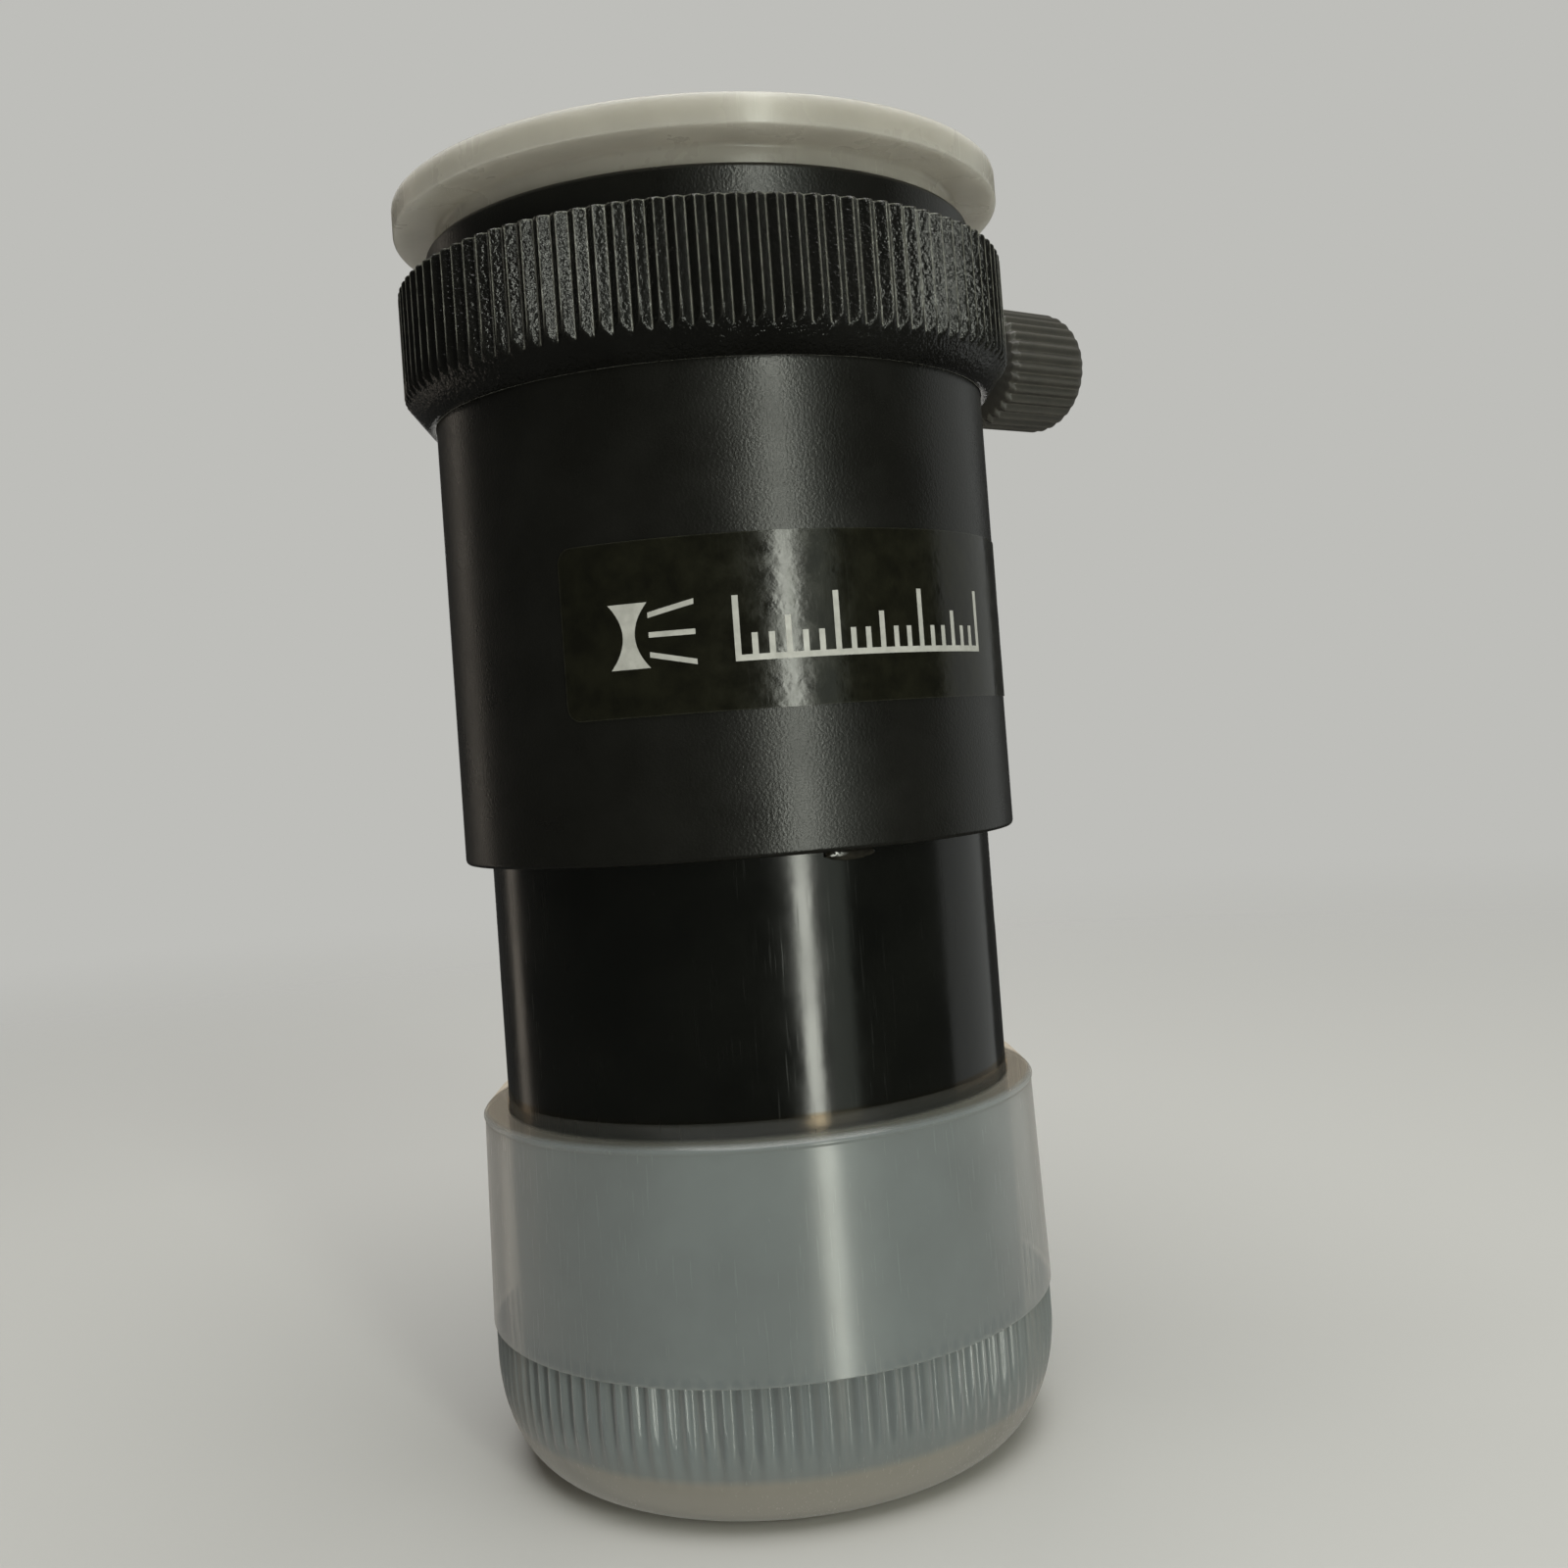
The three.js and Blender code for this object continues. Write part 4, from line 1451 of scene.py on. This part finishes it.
@dataclass
class Studio:
    """The floor, the surroundings, the lights and the camera."""

    backdrop: str = "#bebeba"
    ambient: float = 0.07
    floor_r: float = 0.42
    floor_segments: int = 96
    floor_fade: tuple[float, float] = (0.05, 0.4)
    paper: str = "#c8c8c5"
    paper_roughness: float = 0.8
    fibre_mm: float = 0.6
    fibre_height_mm: float = 0.01
    camera_distance: float = 0.10687
    camera_height: float = 0.0429
    pitch: float = 1.39
    roll: float = 4.20
    yaw: float = -1.83
    lens_mm: float = 37.81
    sensor_mm: float = 36.0
    shift_y: float = -0.05
    nearest: float = 0.005
    lights: tuple[Softbox, ...] = (
        Softbox("tall_window", 24.5, 0.07, 0.46, (0.055, 0.56), 1.1, "#fbfff2"),
        Softbox("window_frame", 38.0, 0.07, 0.46, (0.10, 0.56), 0.1, "#f4fff0"),
        Softbox("overhead", 20.0, 0.60, 0.10, (0.6, 0.6), 3.9, "#fffefa"),
        Softbox("left_fill", -128.0, 0.10, 0.5, (0.08, 0.5), 0.08, "#fff2e0"),
        Softbox("right_fill", 118.0, 0.10, 0.5, (0.4, 0.5), 0.2, "#fbfffb"),
        Softbox("back_fill", 180.0, 0.16, 0.5, (0.3, 0.4), 0.4, "#fffdf8"),
        Softbox("table_glow", 10.0, -0.14, 0.28, (0.5, 0.3), 0.35, "#fffaf0", mirrored=False),
    )

    def world(self) -> None:
        """Make surroundings that look pale, also through glass, but light the object softly."""
        bpy.context.scene.world = bpy.data.worlds.new("studio")
        tree = emptied(bpy.context.scene.world)
        pale = {"Color": linear(self.backdrop)}
        seen = node(tree, "Background", pale)
        lit = node(tree, "Background", pale | {"Strength": self.ambient})
        path = node(tree, "LightPath", {})
        rays = {0: path.outputs["Is Camera Ray"], 1: path.outputs["Is Transmission Ray"]}
        direct = node(tree, "Math", {"operation": "MAXIMUM"}, rays)
        choice = {0: direct.outputs[0], 1: lit.outputs[0], 2: seen.outputs[0]}
        mixed = node(tree, "MixShader", {}, choice)
        node(tree, "OutputWorld", {}, {"Surface": mixed.outputs[0]})

    def floor_material(self) -> bpy.types.Material:
        """Pale paper that fades out with distance, and isn't there when seen from below."""
        made = bpy.data.materials.new("pale_paper")
        tree = emptied(made)
        place = node(tree, "TexCoord", {}).outputs["Object"]
        size = {"Scale": per_metre(self.fibre_mm), "Detail": 4.0}
        fibre = node(tree, "TexNoise", size, {"Vector": place}).outputs["Fac"]
        rise = {"Strength": 1.0, "Distance": self.fibre_height_mm * MM}
        bump = node(tree, "Bump", rise, {"Height": fibre}).outputs[0]
        sheet = {"Base Color": linear(self.paper), "Roughness": self.paper_roughness}
        paper = node(tree, "BsdfPrincipled", sheet, {"Normal": bump}).outputs[0]
        far = node(tree, "VectorMath", {"operation": "LENGTH"}, {0: place}).outputs["Value"]
        start, end = self.floor_fade
        easing = {"From Min": start, "From Max": end, "interpolation_type": "SMOOTHSTEP"}
        fade = node(tree, "MapRange", easing, {"Value": far}).outputs[0]
        below = node(tree, "NewGeometry", {}).outputs["Backfacing"]
        gone = node(tree, "Math", {"operation": "MAXIMUM"}, {0: fade, 1: below}).outputs[0]
        clear = node(tree, "BsdfTransparent", {}).outputs[0]
        mixed = node(tree, "MixShader", {}, {0: gone, 1: paper, 2: clear}).outputs[0]
        node(tree, "OutputMaterial", {}, {"Surface": mixed})
        return made

    def floor(self) -> None:
        """Lay the floor under the lower cap, which it stays with when the cap is pulled off.

        Reflections look past it, as they would over the edge of a small table.
        """
        disc = bmesh.new()
        bmesh.ops.create_circle(
            disc, cap_ends=True, segments=self.floor_segments, radius=self.floor_r
        )
        laid = placed("floor", meshed("floor", disc))
        laid.data.materials.append(self.floor_material())
        laid.visible_glossy = False
        laid.visible_shadow = False
        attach(laid, Body.CAP.value)

    def camera(self) -> None:
        """Set the camera in front of the object, close to it and slightly tilted."""
        lens = bpy.data.cameras.new("camera")
        lens.lens = self.lens_mm
        lens.sensor_width = self.sensor_mm
        lens.shift_y = self.shift_y
        lens.clip_start = self.nearest
        held = placed("camera", lens)
        aim = (
            Matrix.Rotation(math.radians(self.yaw), 4, "Z")
            @ Matrix.Rotation(math.radians(self.pitch), 4, "X")
            @ Matrix.Rotation(math.radians(self.roll), 4, "Y")
            @ Matrix.Rotation(math.radians(90), 4, "X")
        )
        held.matrix_world = Matrix.Translation((0, -self.camera_distance, self.camera_height)) @ aim
        bpy.context.scene.camera = held

    def build(self) -> None:
        """Build the whole studio."""
        self.world()
        self.floor()
        self.camera()
        middle = (CAD_BOX[0] + CAD_BOX[1]) / 2
        for light in self.lights:
            light.build(Vector((0, 0, middle.z)))
        bpy.context.scene.view_settings.view_transform = "Standard"


def main() -> None:
    """Build the studio and then the object, one sub-assembly after another."""
    logging.basicConfig(level=logging.INFO, format="%(message)s")
    Studio().build()
    for assembly in (Socket(), Nosepiece(), Label(), DustCaps(), Thumbscrew(), LensCell()):
        log.info("building %s", type(assembly).__name__)
        assembly.build()


if __name__ == "__main__":
    main()
